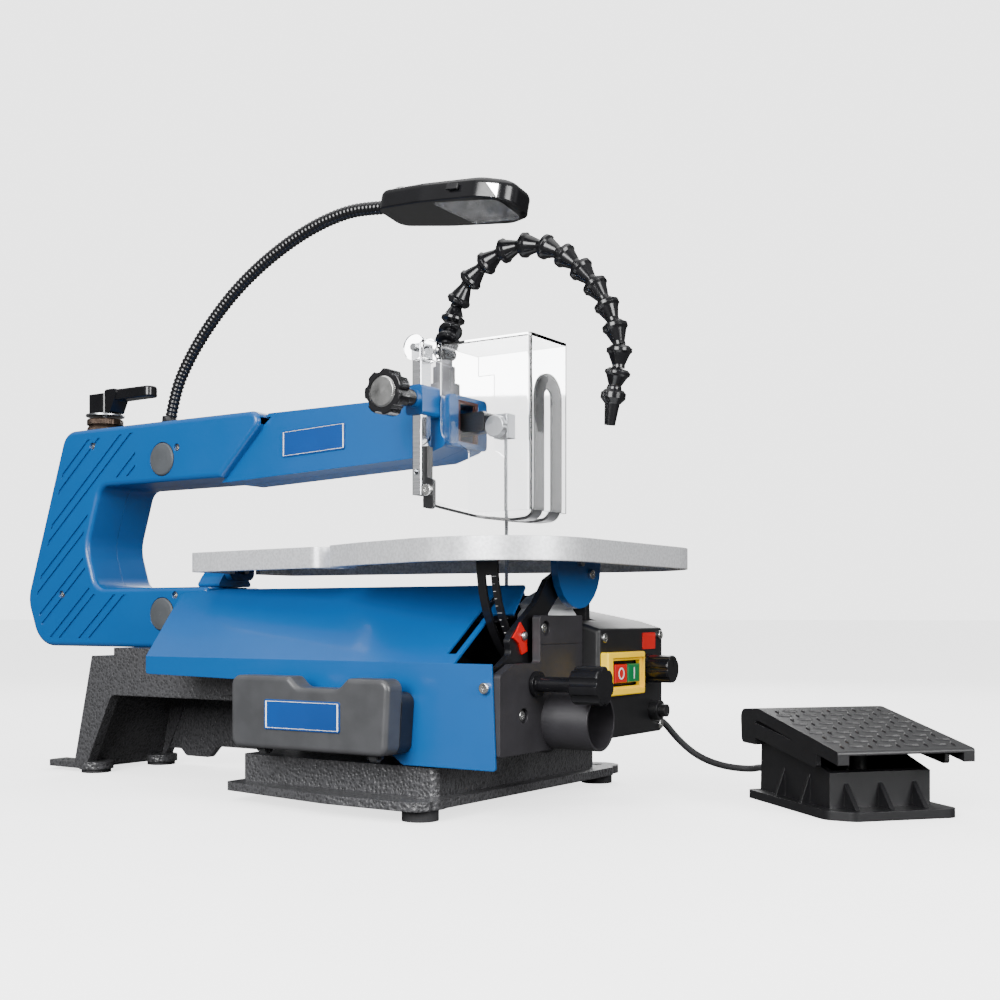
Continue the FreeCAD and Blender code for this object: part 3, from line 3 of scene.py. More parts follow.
import bpy
from mathutils import Matrix, Vector


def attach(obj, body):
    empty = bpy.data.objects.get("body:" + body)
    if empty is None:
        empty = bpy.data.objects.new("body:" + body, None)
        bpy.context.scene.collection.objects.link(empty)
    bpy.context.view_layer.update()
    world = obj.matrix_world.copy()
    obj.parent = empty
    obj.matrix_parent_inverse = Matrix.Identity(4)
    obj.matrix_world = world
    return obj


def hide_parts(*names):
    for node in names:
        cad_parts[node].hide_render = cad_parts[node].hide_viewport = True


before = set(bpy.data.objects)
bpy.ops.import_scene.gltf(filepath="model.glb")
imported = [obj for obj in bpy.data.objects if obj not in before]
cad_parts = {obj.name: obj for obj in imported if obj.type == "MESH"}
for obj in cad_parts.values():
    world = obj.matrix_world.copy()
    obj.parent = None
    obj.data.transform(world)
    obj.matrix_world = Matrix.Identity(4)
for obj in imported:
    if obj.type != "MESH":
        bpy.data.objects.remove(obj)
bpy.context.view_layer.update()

# Lengths in this file are millimetres from the blade, as in the CAD source, unless a name ends in _m.
# place() turns them into the shared frame, which has its origin midway between the front bench bolts.
FRAME_SHIFT = Vector((3.0, 10.0, 0.0))

CAMERA_SPOT = (510.8, -795.1, 131.0)
CAMERA_AIM = (-0.5446, 0.8387, 0.0)
CAMERA_LENS, SENSOR_WIDTH, CAMERA_RISE = 47.88, 36.0, 0.116
STUDIO_MIDDLE = (-100, 0, 150)             # what the area lights point at
CORD_R = 2.5
BOX_EXIT = (62.0, 56.0)                    # X and Z of the cord's hole in the control box
PEDAL_CORNER = (231.0, 25.0)               # X and Y of the zero point of pedal_spot()
PEDAL_HEADING = 138.0                      # degrees from +X to the pedal's length, towards its cord
PEDAL_LENGTH, PEDAL_WIDTH = 126.0, 90.0
PEDAL_EXIT_Y = -18.0                       # the cord's hole in the pedal, across its width
LOZENGE_ROWS, LOZENGE_LENGTH_HALF, LOZENGE_WIDTH_HALF = 9, 6.4, 1.7
LAMP_LEAN, LAMP_PITCH = -8.0, 6.0          # degrees about X, and about Y at the lamp's rear
LAMP_REAR_X, LAMP_Z = -104.0, 437.5
LENS_X, LENS_Y = (-50.4, 5.4), (-20.4, 20.4)
NECK_BASE = (-340, 0, 291.4)               # where the gooseneck stands on the arm
BUTTON_X = 79.7                            # front faces of the stop and start buttons
ARM_BADGE_Y, CASE_BADGE_Y = -24.82, -134.82
TILT_Z = 168.0                             # height of the table's tilt axis
SCALE_X, SCALE_RADIUS = 41.6, 83.0         # lower edge and radius of the curved tilt scale
SCALE_FIRST, SCALE_STEP, SCALE_LINES = 188, 3.4, 15    # degrees, degrees and a count


def place(x, y, z):
    return (Vector((x, y, z)) - FRAME_SHIFT) / 1000


# ---- camera, floor and light ----
def make_camera():
    """Level camera in front of the operator's left shoulder, at the photograph's angle."""
    data = bpy.data.cameras.new("camera")
    camera = bpy.data.objects.new("camera", data)
    bpy.context.scene.collection.objects.link(camera)
    camera.location = place(*CAMERA_SPOT)
    camera.rotation_mode = "QUATERNION"
    camera.rotation_quaternion = Vector(CAMERA_AIM).to_track_quat("-Z", "Y")
    data.lens, data.sensor_width, data.shift_y = CAMERA_LENS, SENSOR_WIDTH, CAMERA_RISE
    data.clip_start = 0.01
    bpy.context.scene.camera = camera


def area_light(name, spot, size, power):
    data = bpy.data.lights.new(name, "AREA")
    data.energy, data.size = power, size
    light = bpy.data.objects.new(name, data)
    bpy.context.scene.collection.objects.link(light)
    light.location = place(*spot)
    aim = place(*STUDIO_MIDDLE) - light.location
    light.rotation_mode = "QUATERNION"
    light.rotation_quaternion = aim.to_track_quat("-Z", "Y")


# Brightness of the surroundings that only reflections and soft light see. FLAGS runs from -X (0) to
# +X (1) with dark and bright bands, and TOP_BLEND goes over from them to an even top by height.
FLAGS = [(0.0, 0.3), (0.17, 0.03), (0.195, 0.9), (0.22, 0.9), (0.25, 0.03), (0.36, 0.05), (0.45, 0.6),
         (0.55, 0.04), (0.83, 0.04), (0.9, 0.7), (1.0, 0.05)]
TOP_BLEND = [(0.15, 0.0), (0.7, 1.0)]
TOP_LEVEL = 0.55


def make_studio():
    """Soft studio. The camera sees a plain pale backdrop, and reflections see the flags instead."""
    world = bpy.data.worlds.new("studio")
    world.use_nodes = True
    nodes, links = world.node_tree.nodes, world.node_tree.links

    def shade_by(value, stops):
        ramp = nodes.new("ShaderNodeValToRGB")
        elements = ramp.color_ramp.elements
        elements[0].position, elements[0].color = stops[0][0], (*[stops[0][1]] * 3, 1)
        elements[1].position, elements[1].color = stops[-1][0], (*[stops[-1][1]] * 3, 1)
        for position, level in stops[1:-1]:
            elements.new(position).color = (level, level, level, 1)
        links.new(value, ramp.inputs["Fac"])
        return ramp.outputs["Color"]

    backdrop = nodes["Background"]
    backdrop.inputs["Color"].default_value = (1.0, 1.0, 1.0, 1)
    backdrop.inputs["Strength"].default_value = 3.2
    around = nodes.new("ShaderNodeBackground")
    around.inputs["Strength"].default_value = 0.85
    direction = nodes.new("ShaderNodeSeparateXYZ")
    links.new(nodes.new("ShaderNodeTexCoord").outputs["Generated"], direction.inputs["Vector"])
    level = nodes.new("ShaderNodeMath")
    level.operation = "MULTIPLY_ADD"
    level.inputs[1].default_value, level.inputs[2].default_value = 0.5, 0.5
    links.new(direction.outputs["X"], level.inputs[0])
    flags = shade_by(level.outputs["Value"], FLAGS)
    blend = nodes.new("ShaderNodeMix")
    blend.data_type = "RGBA"
    links.new(shade_by(direction.outputs["Z"], TOP_BLEND), blend.inputs["Factor"])
    links.new(flags, blend.inputs["A"])
    blend.inputs["B"].default_value = (TOP_LEVEL, TOP_LEVEL, TOP_LEVEL, 1)
    links.new(blend.outputs["Result"], around.inputs["Color"])
    mix = nodes.new("ShaderNodeMixShader")
    path = nodes.new("ShaderNodeLightPath").outputs
    seen = nodes.new("ShaderNodeMath")
    seen.operation = "MAXIMUM"
    links.new(path["Is Camera Ray"], seen.inputs[0])
    links.new(path["Is Transmission Ray"], seen.inputs[1])
    links.new(seen.outputs["Value"], mix.inputs["Fac"])
    links.new(around.outputs["Background"], mix.inputs[1])
    links.new(backdrop.outputs["Background"], mix.inputs[2])
    links.new(mix.outputs["Shader"], nodes["World Output"].inputs["Surface"])
    bpy.context.scene.world = world
    overhead = bpy.data.lights.new("overhead", "SUN")
    overhead.energy, overhead.angle = 2.0, math.radians(70)
    bpy.context.scene.collection.objects.link(bpy.data.objects.new("overhead", overhead))
    area_light("key", (150, -1600, 800), 1.0, 66)
    area_light("front", (1400, -350, 600), 0.7, 26)
    area_light("rim", (-700, 1200, 900), 0.8, 16)


def make_floor():
    """Plain floor: pale to the camera, dull to other rays, so it doesn't wash out the undersides."""
    mesh = bpy.data.meshes.new("floor")
    half = 40.0
    corners = [(-half, -half, 0), (half, -half, 0), (half, half, 0), (-half, half, 0)]
    mesh.from_pydata(corners, [], [(0, 1, 2, 3)])
    floor = bpy.data.objects.new("floor", mesh)
    bpy.context.scene.collection.objects.link(floor)
    surface = Surface("floor_paint", (0.8, 0.8, 0.8), 0.8)
    surface.tint(surface.noise(12), 0.02)
    seen = surface.nodes.new("ShaderNodeLightPath").outputs["Is Camera Ray"]
    dull = surface.nodes.new("ShaderNodeBsdfDiffuse")
    dull.inputs["Color"].default_value = (0.10, 0.10, 0.10, 1)
    surface.shader.inputs["Emission Color"].default_value = (1, 1, 1, 1)
    surface.shader.inputs["Emission Strength"].default_value = 2.0
    mix = surface.nodes.new("ShaderNodeMixShader")
    surface.links.new(seen, mix.inputs["Fac"])
    surface.links.new(dull.outputs["BSDF"], mix.inputs[1])
    surface.links.new(surface.shader.outputs["BSDF"], mix.inputs[2])
    surface.links.new(mix.outputs["Shader"], surface.nodes["Material Output"].inputs["Surface"])
    floor.data.materials.append(surface.material)


# ---- materials ----
class Surface:
    """A node material with its shader, and helpers that add detail to it."""

    def __init__(self, name, colour, roughness, metallic=0.0):
        self.material = bpy.data.materials.new(name)
        self.material.use_nodes = True
        self.nodes = self.material.node_tree.nodes
        self.links = self.material.node_tree.links
        self.shader = self.nodes["Principled BSDF"]
        self.shader.inputs["Base Color"].default_value = (*colour, 1)
        self.shader.inputs["Roughness"].default_value = roughness
        self.shader.inputs["Metallic"].default_value = metallic
        self.colour = colour
        self.roughness = roughness
        self.coordinates = self.nodes.new("ShaderNodeTexCoord").outputs["Object"]
        self.height = None

    def stretched(self, stretch):
        mapping = self.nodes.new("ShaderNodeMapping")
        mapping.inputs["Scale"].default_value = stretch
        self.links.new(self.coordinates, mapping.inputs["Vector"])
        return mapping.outputs["Vector"]

    def noise(self, scale, detail=4.0, stretch=(1, 1, 1)):
        noise = self.nodes.new("ShaderNodeTexNoise")
        noise.inputs["Scale"].default_value = scale
        noise.inputs["Detail"].default_value = detail
        self.links.new(self.stretched(stretch), noise.inputs["Vector"])
        return noise.outputs["Fac"]

    def cells(self, scale):
        cells = self.nodes.new("ShaderNodeTexVoronoi")
        cells.inputs["Scale"].default_value = scale
        self.links.new(self.coordinates, cells.inputs["Vector"])
        return cells.outputs["Distance"]

    def ramp(self, value, stops):
        ramp = self.nodes.new("ShaderNodeValToRGB")
        low, high = ramp.color_ramp.elements
        low.position, low.color = stops[0][0], (*stops[0][1], 1)
        high.position, high.color = stops[-1][0], (*stops[-1][1], 1)
        for position, colour in stops[1:-1]:
            ramp.color_ramp.elements.new(position).color = (*colour, 1)
        self.links.new(value, ramp.inputs["Fac"])
        return ramp.outputs["Color"]

    def tint(self, value, amount, low=0.35, high=0.65):
        """Varies the base colour by the value, from darker to lighter."""
        dark = tuple(c * (1 - amount) for c in self.colour)
        light = tuple(min(1.0, c * (1 + amount)) for c in self.colour)
        shades = self.ramp(value, [(low, dark), (high, light)])
        self.links.new(shades, self.shader.inputs["Base Color"])
        return self

    def vary_roughness(self, value, amount):
        spread = self.nodes.new("ShaderNodeMapRange")
        spread.inputs["To Min"].default_value = max(0.02, self.roughness - amount)
        spread.inputs["To Max"].default_value = min(1.0, self.roughness + amount)
        self.links.new(value, spread.inputs["Value"])
        self.links.new(spread.outputs["Result"], self.shader.inputs["Roughness"])
        return self

    def bump(self, value, strength, distance=0.0005):
        bump = self.nodes.new("ShaderNodeBump")
        bump.inputs["Strength"].default_value = strength
        bump.inputs["Distance"].default_value = distance
        self.links.new(value, bump.inputs["Height"])
        if self.height is not None:
            self.links.new(self.height, bump.inputs["Normal"])
        self.height = bump.outputs["Normal"]
        self.links.new(self.height, self.shader.inputs["Normal"])
        return self

    def rounded_edges(self, radius=0.0006):
        """Lets the shading of a sharp edge turn over a small radius."""
        bevel = self.nodes.new("ShaderNodeBevel")
        bevel.samples = 4
        bevel.inputs["Radius"].default_value = radius
        self.height = bevel.outputs["Normal"]
        self.links.new(self.height, self.shader.inputs["Normal"])
        return self


def painted(name, colour, roughness, grain=700.0, bump=0.05, coat=0.0, change=0.12):
    surface = Surface(name, colour, roughness).rounded_edges()
    surface.shader.inputs["Coat Weight"].default_value = coat
    surface.shader.inputs["Coat Roughness"].default_value = 0.08
    surface.tint(surface.noise(12), change)
    surface.vary_roughness(surface.noise(30), 0.05)
    return surface.bump(surface.noise(grain, 2), bump).material


def hammered_iron():
    """Black hammer finish over a rough casting: small glossy dimples, with highlights painted onto
    the crests as a paler colour.
    """
    surface = Surface("hammered_iron", (0.032, 0.032, 0.034), 0.34).rounded_edges(0.0012)
    dents = surface.cells(420)
    # Painted highlight: the cell crests get a paler base colour that stands in for light catching
    # them.
    surface.tint(dents, 0.65, 0.05, 0.55)
    surface.shader.inputs["Coat Weight"].default_value = 0.4
    surface.shader.inputs["Coat Roughness"].default_value = 0.25
    surface.vary_roughness(surface.noise(200), 0.1)
    surface.bump(dents, 0.75, 0.0010)
    return surface.bump(surface.noise(1300), 0.45, 0.0004).material


def moulded(name, colour, roughness=0.45, grain=2200.0, strength=0.35):
    """Moulded plastic with a fine spark-eroded grain."""
    surface = Surface(name, colour, roughness).rounded_edges(0.0005)
    surface.tint(surface.noise(60), 0.12)
    surface.vary_roughness(surface.noise(400), 0.05)
    surface.bump(surface.noise(grain, 2), strength, 0.00012)
    return surface.bump(surface.noise(90), 0.03, 0.0006).material


def machined(name, colour, roughness, stretch=(1, 30, 30), scale=60.0, strength=0.2):
    """Ground or turned metal, with fine lines along the direction that isn't stretched."""
    surface = Surface(name, colour, roughness, 1.0).rounded_edges(0.0004)
    lines = surface.noise(scale, 6, stretch)
    surface.tint(lines, 0.12)
    surface.vary_roughness(lines, 0.1)
    surface.bump(lines, strength, 0.0002)
    return surface.material


def cast_aluminium():
    surface = Surface("cast_aluminium", (0.78, 0.79, 0.81), 0.4, 0.55).rounded_edges(0.0012)
    lines = surface.noise(40, 6, (1, 24, 1))
    specks = surface.noise(500, 3)
    surface.tint(specks, 0.10, 0.4, 0.6)
    surface.vary_roughness(lines, 0.12)
    surface.bump(lines, 0.15, 0.0002)
    return surface.bump(specks, 0.12, 0.0003).material


def knurled(name, colour):
    surface = Surface(name, colour, 0.4, 0.8)
    waves = surface.nodes.new("ShaderNodeTexWave")
    waves.inputs["Scale"].default_value = 420
    waves.inputs["Distortion"].default_value = 1.5
    surface.links.new(surface.coordinates, waves.inputs["Vector"])
    surface.tint(surface.noise(150), 0.35)
    return surface.bump(waves.outputs["Fac"], 0.5, 0.0005).material


def clear_acrylic(name="clear_acrylic", roughness=0.02):
    surface = Surface(name, (0.985, 0.99, 0.995), roughness)
    surface.shader.inputs["Transmission Weight"].default_value = 1.0
    surface.shader.inputs["IOR"].default_value = 1.47
    surface.vary_roughness(surface.noise(140, 3), 0.02)
    return surface.bump(surface.noise(25), 0.02, 0.001).material


def make_materials():
    return {
        "iron": hammered_iron(),
        "blue": painted("blue_enamel", (0.0, 0.070, 0.245), 0.38, bump=0.02, coat=0.25, change=0.04),
        "rubber": moulded("rubber", (0.018, 0.018, 0.02), 0.75, 900, 0.4),
        "cap": moulded("cap_grey", (0.055, 0.06, 0.066), 0.5, 1200, 0.3),
        "steel": machined("ground_steel", (0.34, 0.35, 0.365), 0.3),
        "bronze": machined("bronze", (0.55, 0.36, 0.16), 0.4),
        "collar": knurled("browned_steel", (0.045, 0.030, 0.022)),
        "alloy": machined("cast_alloy", (0.42, 0.43, 0.45), 0.35, (1, 1, 1), 300, 0.3),
        "black_paint": painted("black_enamel", (0.006, 0.006, 0.007), 0.3, 900, 0.04, 0.3),
        "black": moulded("black_plastic", (0.006, 0.006, 0.007), 0.4),
        "panel": moulded("panel_plastic", (0.022, 0.021, 0.024), 0.42, 2600, 0.3),
        "gloss_black": moulded("knob_plastic", (0.005, 0.005, 0.006), 0.2, 1500, 0.02),
        "case": moulded("case_plastic", (0.045, 0.046, 0.049), 0.36, 2600, 0.3),
        "badge": painted("badge_blue", (0.0, 0.040, 0.19), 0.35, 900, 0.02, 0.05),
        "white": painted("badge_white", (0.80, 0.80, 0.80), 0.35, 900, 0.02),
        "yellow": painted("switch_yellow", (1.0, 0.60, 0.0), 0.4, 1500, 0.04),
        "red": painted("switch_red", (0.50, 0.006, 0.004), 0.3, 1500, 0.04, 0.2),
        "green": painted("switch_green", (0.005, 0.15, 0.045), 0.3, 1500, 0.04, 0.2),
        "zinc": machined("zinc_plate", (0.58, 0.58, 0.57), 0.24, (1, 1, 1), 200, 0.1),
        "pale": moulded("pale_plastic", (0.62, 0.63, 0.64), 0.45, 1500, 0.15),
        "fitting": moulded("fitting_grey", (0.16, 0.16, 0.17), 0.4, 1500, 0.2),
        "table": cast_aluminium(),
        "insert": machined("insert_alloy", (0.58, 0.59, 0.60), 0.34),
        "chrome": machined("chrome", (0.62, 0.63, 0.65), 0.07, (1, 1, 20), 40, 0.02),
        "acrylic": clear_acrylic(),
        "lens": clear_acrylic("lens", 0.12),
        "reflector": machined("reflector", (0.85, 0.85, 0.86), 0.12, (1, 1, 1), 300, 0.05),
        "boot": moulded("boot_rubber", (0.07, 0.018, 0.012), 0.6, 900, 0.4),
    }


NODE_FINISH = {
    "iron": ["base_casting"],
    "blue": ["housing_left", "housing_right", "arm_front_cover", "side_panel_left",
             "side_panel_right", "table_trunnions", "rear_support", "head_bracket"],
    "rubber": ["rubber_feet"],
    "boot": ["window_bellows"],
    "cap": ["pivot_caps"],
    "steel": ["pivot_pins", "lower_arm", "connecting_rod", "tension_rod", "saw_blade", "motor_rotor",
              "crank_disc"],
    "bronze": ["upper_bush", "lower_bush"],
    "collar": ["tension_collar"],
    "alloy": ["blade_clamps", "upper_clamp_screw", "lower_clamp_screw"],
    "black_paint": ["upper_arm", "motor_case", "motor_plate", "trunnion_bracket", "hold_down_foot"],
    "panel": ["front_plate", "dust_port"],
    "black": ["cooling_fan", "control_box", "switch_body", "pedal_base", "treadle",
              "reset_button", "lamp_switch", "storage_tray"],
    "gloss_black": ["tension_lever", "tilt_lock_handle", "speed_knob", "post_knob", "air_hose",
                    "air_nozzle", "lamp_head"],
    "case": ["storage_lid"],
    "badge": ["arm_badge"],
    "yellow": ["switch_frame"],
    "red": ["stop_button"],
    "green": ["start_button"],
    "zinc": ["cover_screws"],
    "pale": ["air_supply"],
    "table": ["table_top"],
    "insert": ["table_insert"],
    "chrome": ["hold_down_post"],
    "acrylic": ["guard_shield"],
}


def finish_nodes(finish):
    for name, nodes in NODE_FINISH.items():
        for node in nodes:
            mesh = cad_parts[node].data
            mesh.materials.clear()
            mesh.materials.append(finish[name])


def second_finish(node, material, chosen):
    """Gives a second finish to a CAD node's faces whose centre, from the blade, is chosen."""
    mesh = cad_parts[node].data
    mesh.materials.append(material)
    for face in mesh.polygons:
        spot = face.center * 1000 + FRAME_SHIFT
        if chosen(spot):
            face.material_index = len(mesh.materials) - 1


def near_line(p, x, z, radius):
    """True within a radius of the line along Y through x and z."""
    return math.hypot(p.x - x, p.z - z) < radius


def is_trunnion_screw(p):
    front = p.x > 59.55 and p.z < 166
    strap = 39 < p.x < 47 and -80 < p.y < -60 and 167.2 < p.z < 169.95
    rear = p.x < -235 and p.y < -14.02
    return front or strap or rear


def in_lens(p, low, high):
    """True inside the lamp's lens opening, between two heights in the lamp's own frame."""
    lean = Matrix.Rotation(math.radians(LAMP_LEAN), 4, "X")
    pitch = Matrix.Rotation(math.radians(LAMP_PITCH), 4, "Y")
    rear = Vector((LAMP_REAR_X, 0, 0))
    local = lean.inverted() @ (pitch.inverted() @ (p - Vector((0, 0, LAMP_Z)) - rear) + rear)
    inside = LENS_X[0] < local.x < LENS_X[1] and LENS_Y[0] < local.y < LENS_Y[1]
    return inside and low < local.z < high


def finish_details(finish):
    """Parts of one node that have a finish of their own."""
    second_finish("post_knob", finish["zinc"],
                  lambda p: p.y < -81.4 and near_line(p, -46, 283, 10.9))
    second_finish("table_trunnions", finish["black_paint"],
                  lambda p: 29 < p.x < 57 and p.z < 176 and p.y < -42)
    second_finish("air_supply", finish["fitting"], lambda p: p.z > 280)
    second_finish("table_trunnions", finish["zinc"], is_trunnion_screw)
    second_finish("lamp_head", finish["lens"], lambda p: in_lens(p, -6.9, -4.6))
    second_finish("lamp_head", finish["reflector"], lambda p: in_lens(p, -4.6, 4.2))
    second_finish("trunnion_bracket", finish["red"],
                  lambda p: 52.03 < p.x and p.y < -54 and 105 < p.z < 128)
    second_finish("hold_down_foot", finish["zinc"],
                  lambda p: p.y < -43.2 and near_line(p, -37.5, 219, 5))
    second_finish("switch_frame", finish["red"], lambda p: p.x < 75.8 and p.z > 106.5)
    second_finish("storage_lid", finish["badge"],
                  lambda p: p.y < -134.03 and abs(p.x + 73.5) < 33 and p.z < 76)


# ---- mesh helpers ----
def add_piece(name, mesh, body, material, smooth=True):
    piece = bpy.data.objects.new(name, mesh)
    bpy.context.scene.collection.objects.link(piece)
    mesh.materials.append(material)
    if smooth:
        for face in mesh.polygons:
            face.use_smooth = True
    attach(piece, body)
    return piece


def mesh_from(name, vertices, faces):
    mesh = bpy.data.meshes.new(name)
    mesh.from_pydata([place(*v) for v in vertices], [], faces)
    return mesh


def ring_faces(count):
    """Faces between four closed loops of count points each, the last loop joined to the first."""
    faces = []
    for loop in range(4):
        here, ahead = loop * count, (loop + 1) % 4 * count
        for i in range(count):
            n = (i + 1) % count
            faces.append((here + i, here + n, ahead + n, ahead + i))
    return faces


def border_mesh(name, corners, width, lift=0.15):
    """Raised border facing -Y: the ring between a quadrilateral and its inset copy."""
    corners = [Vector(c) for c in corners]
    centre = sum(corners, Vector()) / len(corners)
    inner = [c + (centre - c).normalized() * width * 1.35 for c in corners]
    out = Vector((0, -1, 0))
    loops = [corners, [c + out * lift for c in corners], [c + out * lift for c in inner], inner]
    vertices = [tuple(v) for loop in loops for v in loop]
    return mesh_from(name, vertices, ring_faces(len(corners)))


def box_mesh(name, low, high):
    x0, y0, z0 = low
    x1, y1, z1 = high
    vertices = [(x, y, z) for z in (z0, z1) for y in (y0, y1) for x in (x0, x1)]
    faces = [(0, 2, 3, 1), (4, 5, 7, 6), (0, 1, 5, 4), (2, 6, 7, 3), (0, 4, 6, 2), (1, 3, 7, 5)]
    return mesh_from(name, vertices, faces)


# ---- gooseneck ----
NECK_ROUTE = [(-340, 0, 293), (-334, 0, 320), (-317, 0, 347), (-292, 0, 374), (-260, 0, 400),
              (-222, 0, 421), (-182, 0, 436), (-146, 0, 442.5), (-120, 0, 441), (-97, 0, 438)]


def smooth_route(name, points):
    """One NURBS spline through a given route, in the shared frame."""
    curve = bpy.data.curves.new(name, "CURVE")
    curve.dimensions = "3D"
    spline = curve.splines.new("NURBS")
    spline.points.add(len(points) - 1)
    for point, spot in zip(spline.points, points):
        point.co = (*place(*spot), 1)
    spline.order_u = 3
    spline.use_endpoint_u = True
    spline.resolution_u = 12
    return curve


def read_line(curve):
    """Points along a curve without a bevel, and the distance to each one, in metres."""
    carrier = bpy.data.objects.new("carrier", curve)
    bpy.context.scene.collection.objects.link(carrier)
    bpy.context.view_layer.update()
    graph = bpy.context.evaluated_depsgraph_get()
    mesh = bpy.data.meshes.new_from_object(carrier.evaluated_get(graph))
    points = [v.co.copy() for v in mesh.vertices]
    bpy.data.objects.remove(carrier)
    bpy.data.meshes.remove(mesh)
    reach = [0.0]
    for a, b in zip(points, points[1:]):
        reach.append(reach[-1] + (b - a).length)
    return points, reach


def point_at(points, reach, distance):
    for i in range(1, len(points)):
        if reach[i] >= distance:
            share = (distance - reach[i - 1]) / max(reach[i] - reach[i - 1], 1e-9)
            return points[i - 1].lerp(points[i], share)
    return points[-1].copy()


def ribbed_neck(finish):
    """Wound metal hose: a tube whose radius rises and falls once for each turn."""
    points, reach = read_line(smooth_route("neck_line", NECK_ROUTE))
    pitch_m, look_m, sides = 0.0036, 0.001, 20
    profile_m = (0.0042, 0.0050, 0.0052, 0.0047)
    total = reach[-1]
    rings = int(total / pitch_m) * len(profile_m)
    vertices, faces = [], []
    for i in range(rings + 1):
        here = point_at(points, reach, total * i / rings)
        ahead = point_at(points, reach, min(total, total * i / rings + look_m))
        behind = point_at(points, reach, max(0.0, total * i / rings - look_m))
        run = (ahead - behind).normalized()
        side = Vector((0, 1, 0))
        up = run.cross(side).normalized()
        radius = profile_m[i % len(profile_m)]
        for k in range(sides):
            angle = 2 * math.pi * k / sides
            vertices.append(here + (side * math.cos(angle) + up * math.sin(angle)) * radius)
    for i in range(rings):
        for k in range(sides):
            a, b = i * sides + k, i * sides + (k + 1) % sides
            faces.append((a, b, b + sides, a + sides))
    faces.append(tuple(range(sides)))
    faces.append(tuple(reversed(range(rings * sides, (rings + 1) * sides))))
    mesh = bpy.data.meshes.new("gooseneck")
    mesh.from_pydata(vertices, [], faces)
    neck = add_piece("gooseneck", mesh, "lamp_arm", finish["gloss_black"])
    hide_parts("lamp_neck")
    profile = [(0, 0), (8.0, 0), (8.0, 3.0), (6.6, 4.6), (6.2, 9.0), (0, 9.0)]
    base = turned("gooseneck_base", profile, NECK_BASE, (0, 0, 1))
    add_piece("gooseneck_base", base, "lamp_arm", finish["gloss_black"])


def turned(name, profile, start, direction, sides=48):
    """Closed solid of revolution. The profile is (radius, height) pairs from axis to axis."""
    axis = Vector(direction).normalized()
    turn = axis.to_track_quat("Z", "Y").to_matrix()
    vertices, faces = [], []
    for radius, height in profile:
        count = 1 if radius == 0 else sides
        for k in range(count):
            angle = 2 * math.pi * k / sides
            local = Vector((radius * math.cos(angle), radius * math.sin(angle), height))
            vertices.append(tuple(turn @ local + Vector(start)))
    index = 0
    for (r0, _), (r1, _) in zip(profile, profile[1:]):
        low_count = 1 if r0 == 0 else sides
        high = index + low_count
        for k in range(sides):
            n = (k + 1) % sides
            if r0 == 0:
                faces.append((index, high + n, high + k))
            elif r1 == 0:
                faces.append((index + k, index + n, high))
            else:
                faces.append((index + k, index + n, high + n, high + k))
        index = high
    return mesh_from(name, vertices, faces)


# ---- foot switch ----
def pedal_spot(x, y, z):
    """Turns a place along, across and over the pedal into one from the blade."""
    turn = math.radians(PEDAL_HEADING)
    return (PEDAL_CORNER[0] + x * math.cos(turn) - y * math.sin(turn),
            PEDAL_CORNER[1] + x * math.sin(turn) + y * math.cos(turn), z)


def tread_pattern(finish):
    """Raised lozenges on the treadle that lean one way and the other by turns."""
    vertices, faces = [], []
    for i in range(LOZENGE_ROWS):
        for j in range(LOZENGE_ROWS):
            lean = 76 if (i + j) % 2 else -14
            add_lozenge(vertices, faces, 1 + i * 11.2, -PEDAL_WIDTH + 5 + j * 10, lean)
    mesh = mesh_from("tread_pattern", vertices, faces)
    tread = add_piece("tread_pattern", mesh, "pedal_top", finish["black"], smooth=False)


def treadle_top(x):
    """Height of the treadle's upper face over the base, in millimetres."""
    return 46.0 + (x + 10) * 20.0 / 112.0


def add_lozenge(vertices, faces, x, y, lean):
    """Adds one lozenge that narrows upwards from just under the treadle's face."""
    turn = math.radians(lean)
    start = len(vertices)
    ring = [(LOZENGE_LENGTH_HALF, 0), (0, LOZENGE_WIDTH_HALF),
            (-LOZENGE_LENGTH_HALF, 0), (0, -LOZENGE_WIDTH_HALF)]
    for scale, lift in ((1.0, -0.4), (0.62, 1.1)):
        for u, v in ring:
            lx = x + scale * (u * math.cos(turn) - v * math.sin(turn))
            ly = y + scale * (u * math.sin(turn) + v * math.cos(turn))
            vertices.append(pedal_spot(lx, ly, treadle_top(lx) + lift))
    faces.append((start + 7, start + 6, start + 5, start + 4))
    faces.append((start, start + 1, start + 2, start + 3))
    for k in range(4):
        n = (k + 1) % 4
        faces.append((start + k, start + 4 + k, start + 4 + n, start + n))


PEDAL_CORD_ROUTE = [(BOX_EXIT[0], 90, BOX_EXIT[1]), (BOX_EXIT[0], 117, BOX_EXIT[1]), (75, 124, 37),
                    (92, 124, 25), (108, 134, 18),
                    pedal_spot(PEDAL_LENGTH + 32, PEDAL_EXIT_Y, 16),
                    pedal_spot(PEDAL_LENGTH + 14, PEDAL_EXIT_Y, 20),
                    pedal_spot(PEDAL_LENGTH - 12, PEDAL_EXIT_Y, 20)]


def pedal_cord(finish):
    curve = smooth_route("pedal_lead", PEDAL_CORD_ROUTE)
    _, reach = read_line(curve.copy())
    curve.bevel_depth = CORD_R / 1000
    curve.bevel_resolution = 5
    curve.use_fill_caps = True
    lead = bpy.data.objects.new("pedal_lead", curve)
    bpy.context.scene.collection.objects.link(lead)
    curve.materials.append(finish["rubber"])
    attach(lead, "frame")
    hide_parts("pedal_cord")


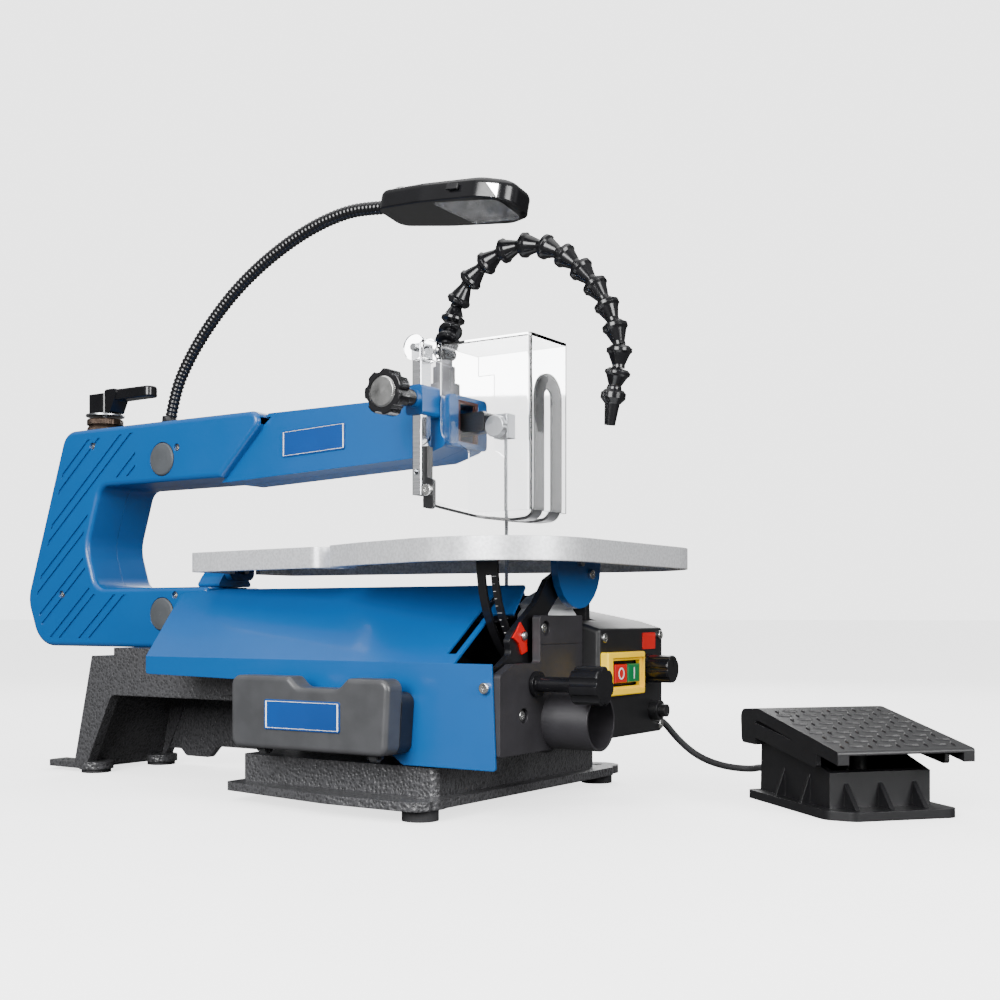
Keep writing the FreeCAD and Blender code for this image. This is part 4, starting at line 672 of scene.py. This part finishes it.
# ---- printed marks and plates ----
def badge_borders(finish):
    y = ARM_BADGE_Y
    arm = [(-189.2, y, 254.4), (-128.8, y, 256.8), (-128.8, y, 275.2), (-189.2, y, 272.8)]
    mesh = border_mesh("arm_badge_border", arm, 0.8)
    add_piece("arm_badge_border", mesh, "frame", finish["white"], smooth=False)
    y = CASE_BADGE_Y
    case = [(-105, y, 56.5), (-42, y, 56.5), (-42, y, 74.5), (-105, y, 74.5)]
    mesh = border_mesh("case_badge_border", case, 1.0)
    add_piece("case_badge_border", mesh, "case_lid", finish["white"], smooth=False)


def ring_mesh(name, centre, radius, width, lift, sides=40):
    """Flat ring facing +X."""
    vertices = []
    for r, x in ((radius, 0), (radius, lift), (radius - width, lift), (radius - width, 0)):
        for k in range(sides):
            angle = 2 * math.pi * k / sides
            vertices.append((centre[0] + x, centre[1] + r * math.cos(angle),
                             centre[2] + r * math.sin(angle)))
    return mesh_from(name, vertices, ring_faces(sides))


def button_marks(finish):
    ring = ring_mesh("stop_mark", (BUTTON_X - 0.1, 23.4, 91), 4.2, 1.1, 0.25)
    add_piece("stop_mark", ring, "stop", finish["white"])
    bar = box_mesh("start_mark", (BUTTON_X - 0.1, 42.0, 87), (BUTTON_X + 0.15, 43.2, 95))
    add_piece("start_mark", bar, "start", finish["white"], smooth=False)


def scale_marks(finish):
    """Evenly spaced lines on the curved tilt scale. They aren't marked off in degrees."""
    quads = [(4, 5, 6, 7), (0, 3, 2, 1), (0, 1, 5, 4), (1, 2, 6, 5), (2, 3, 7, 6), (3, 0, 4, 7)]
    vertices, faces = [], []
    for i in range(SCALE_LINES):
        angle = math.radians(SCALE_FIRST + SCALE_STEP * i)
        reach = 1.6 if i % 5 else 3.4
        outward = Vector((0, math.cos(angle), math.sin(angle)))
        across = Vector((0, -math.sin(angle), math.cos(angle)))
        start = len(vertices)
        for lift in (-0.2, 0.12):
            for u, v in ((0, -0.15), (reach, -0.15), (reach, 0.15), (0, 0.15)):
                middle = Vector((SCALE_X + u, 0, TILT_Z))
                vertices.append(tuple(middle + outward * (SCALE_RADIUS + lift) + across * v))
        faces += [tuple(start + k for k in quad) for quad in quads]
    marks = mesh_from("scale_marks", vertices, faces)
    add_piece("scale_marks", marks, "table", finish["white"], smooth=False)


def pointer_screw(finish):
    profile = [(0, 0), (3.2, 0), (3.2, 1.0), (2.4, 2.0), (0, 2.2)]
    head = turned("pointer_screw", profile, (53.4, -62.5, 118), (1, 0, 0))
    add_piece("pointer_screw", head, "frame", finish["zinc"])


make_camera()
make_studio()
make_floor()
finishes = make_materials()
pedal_cord(finishes)
finish_nodes(finishes)
finish_details(finishes)
ribbed_neck(finishes)
tread_pattern(finishes)
badge_borders(finishes)
button_marks(finishes)
scale_marks(finishes)
pointer_screw(finishes)
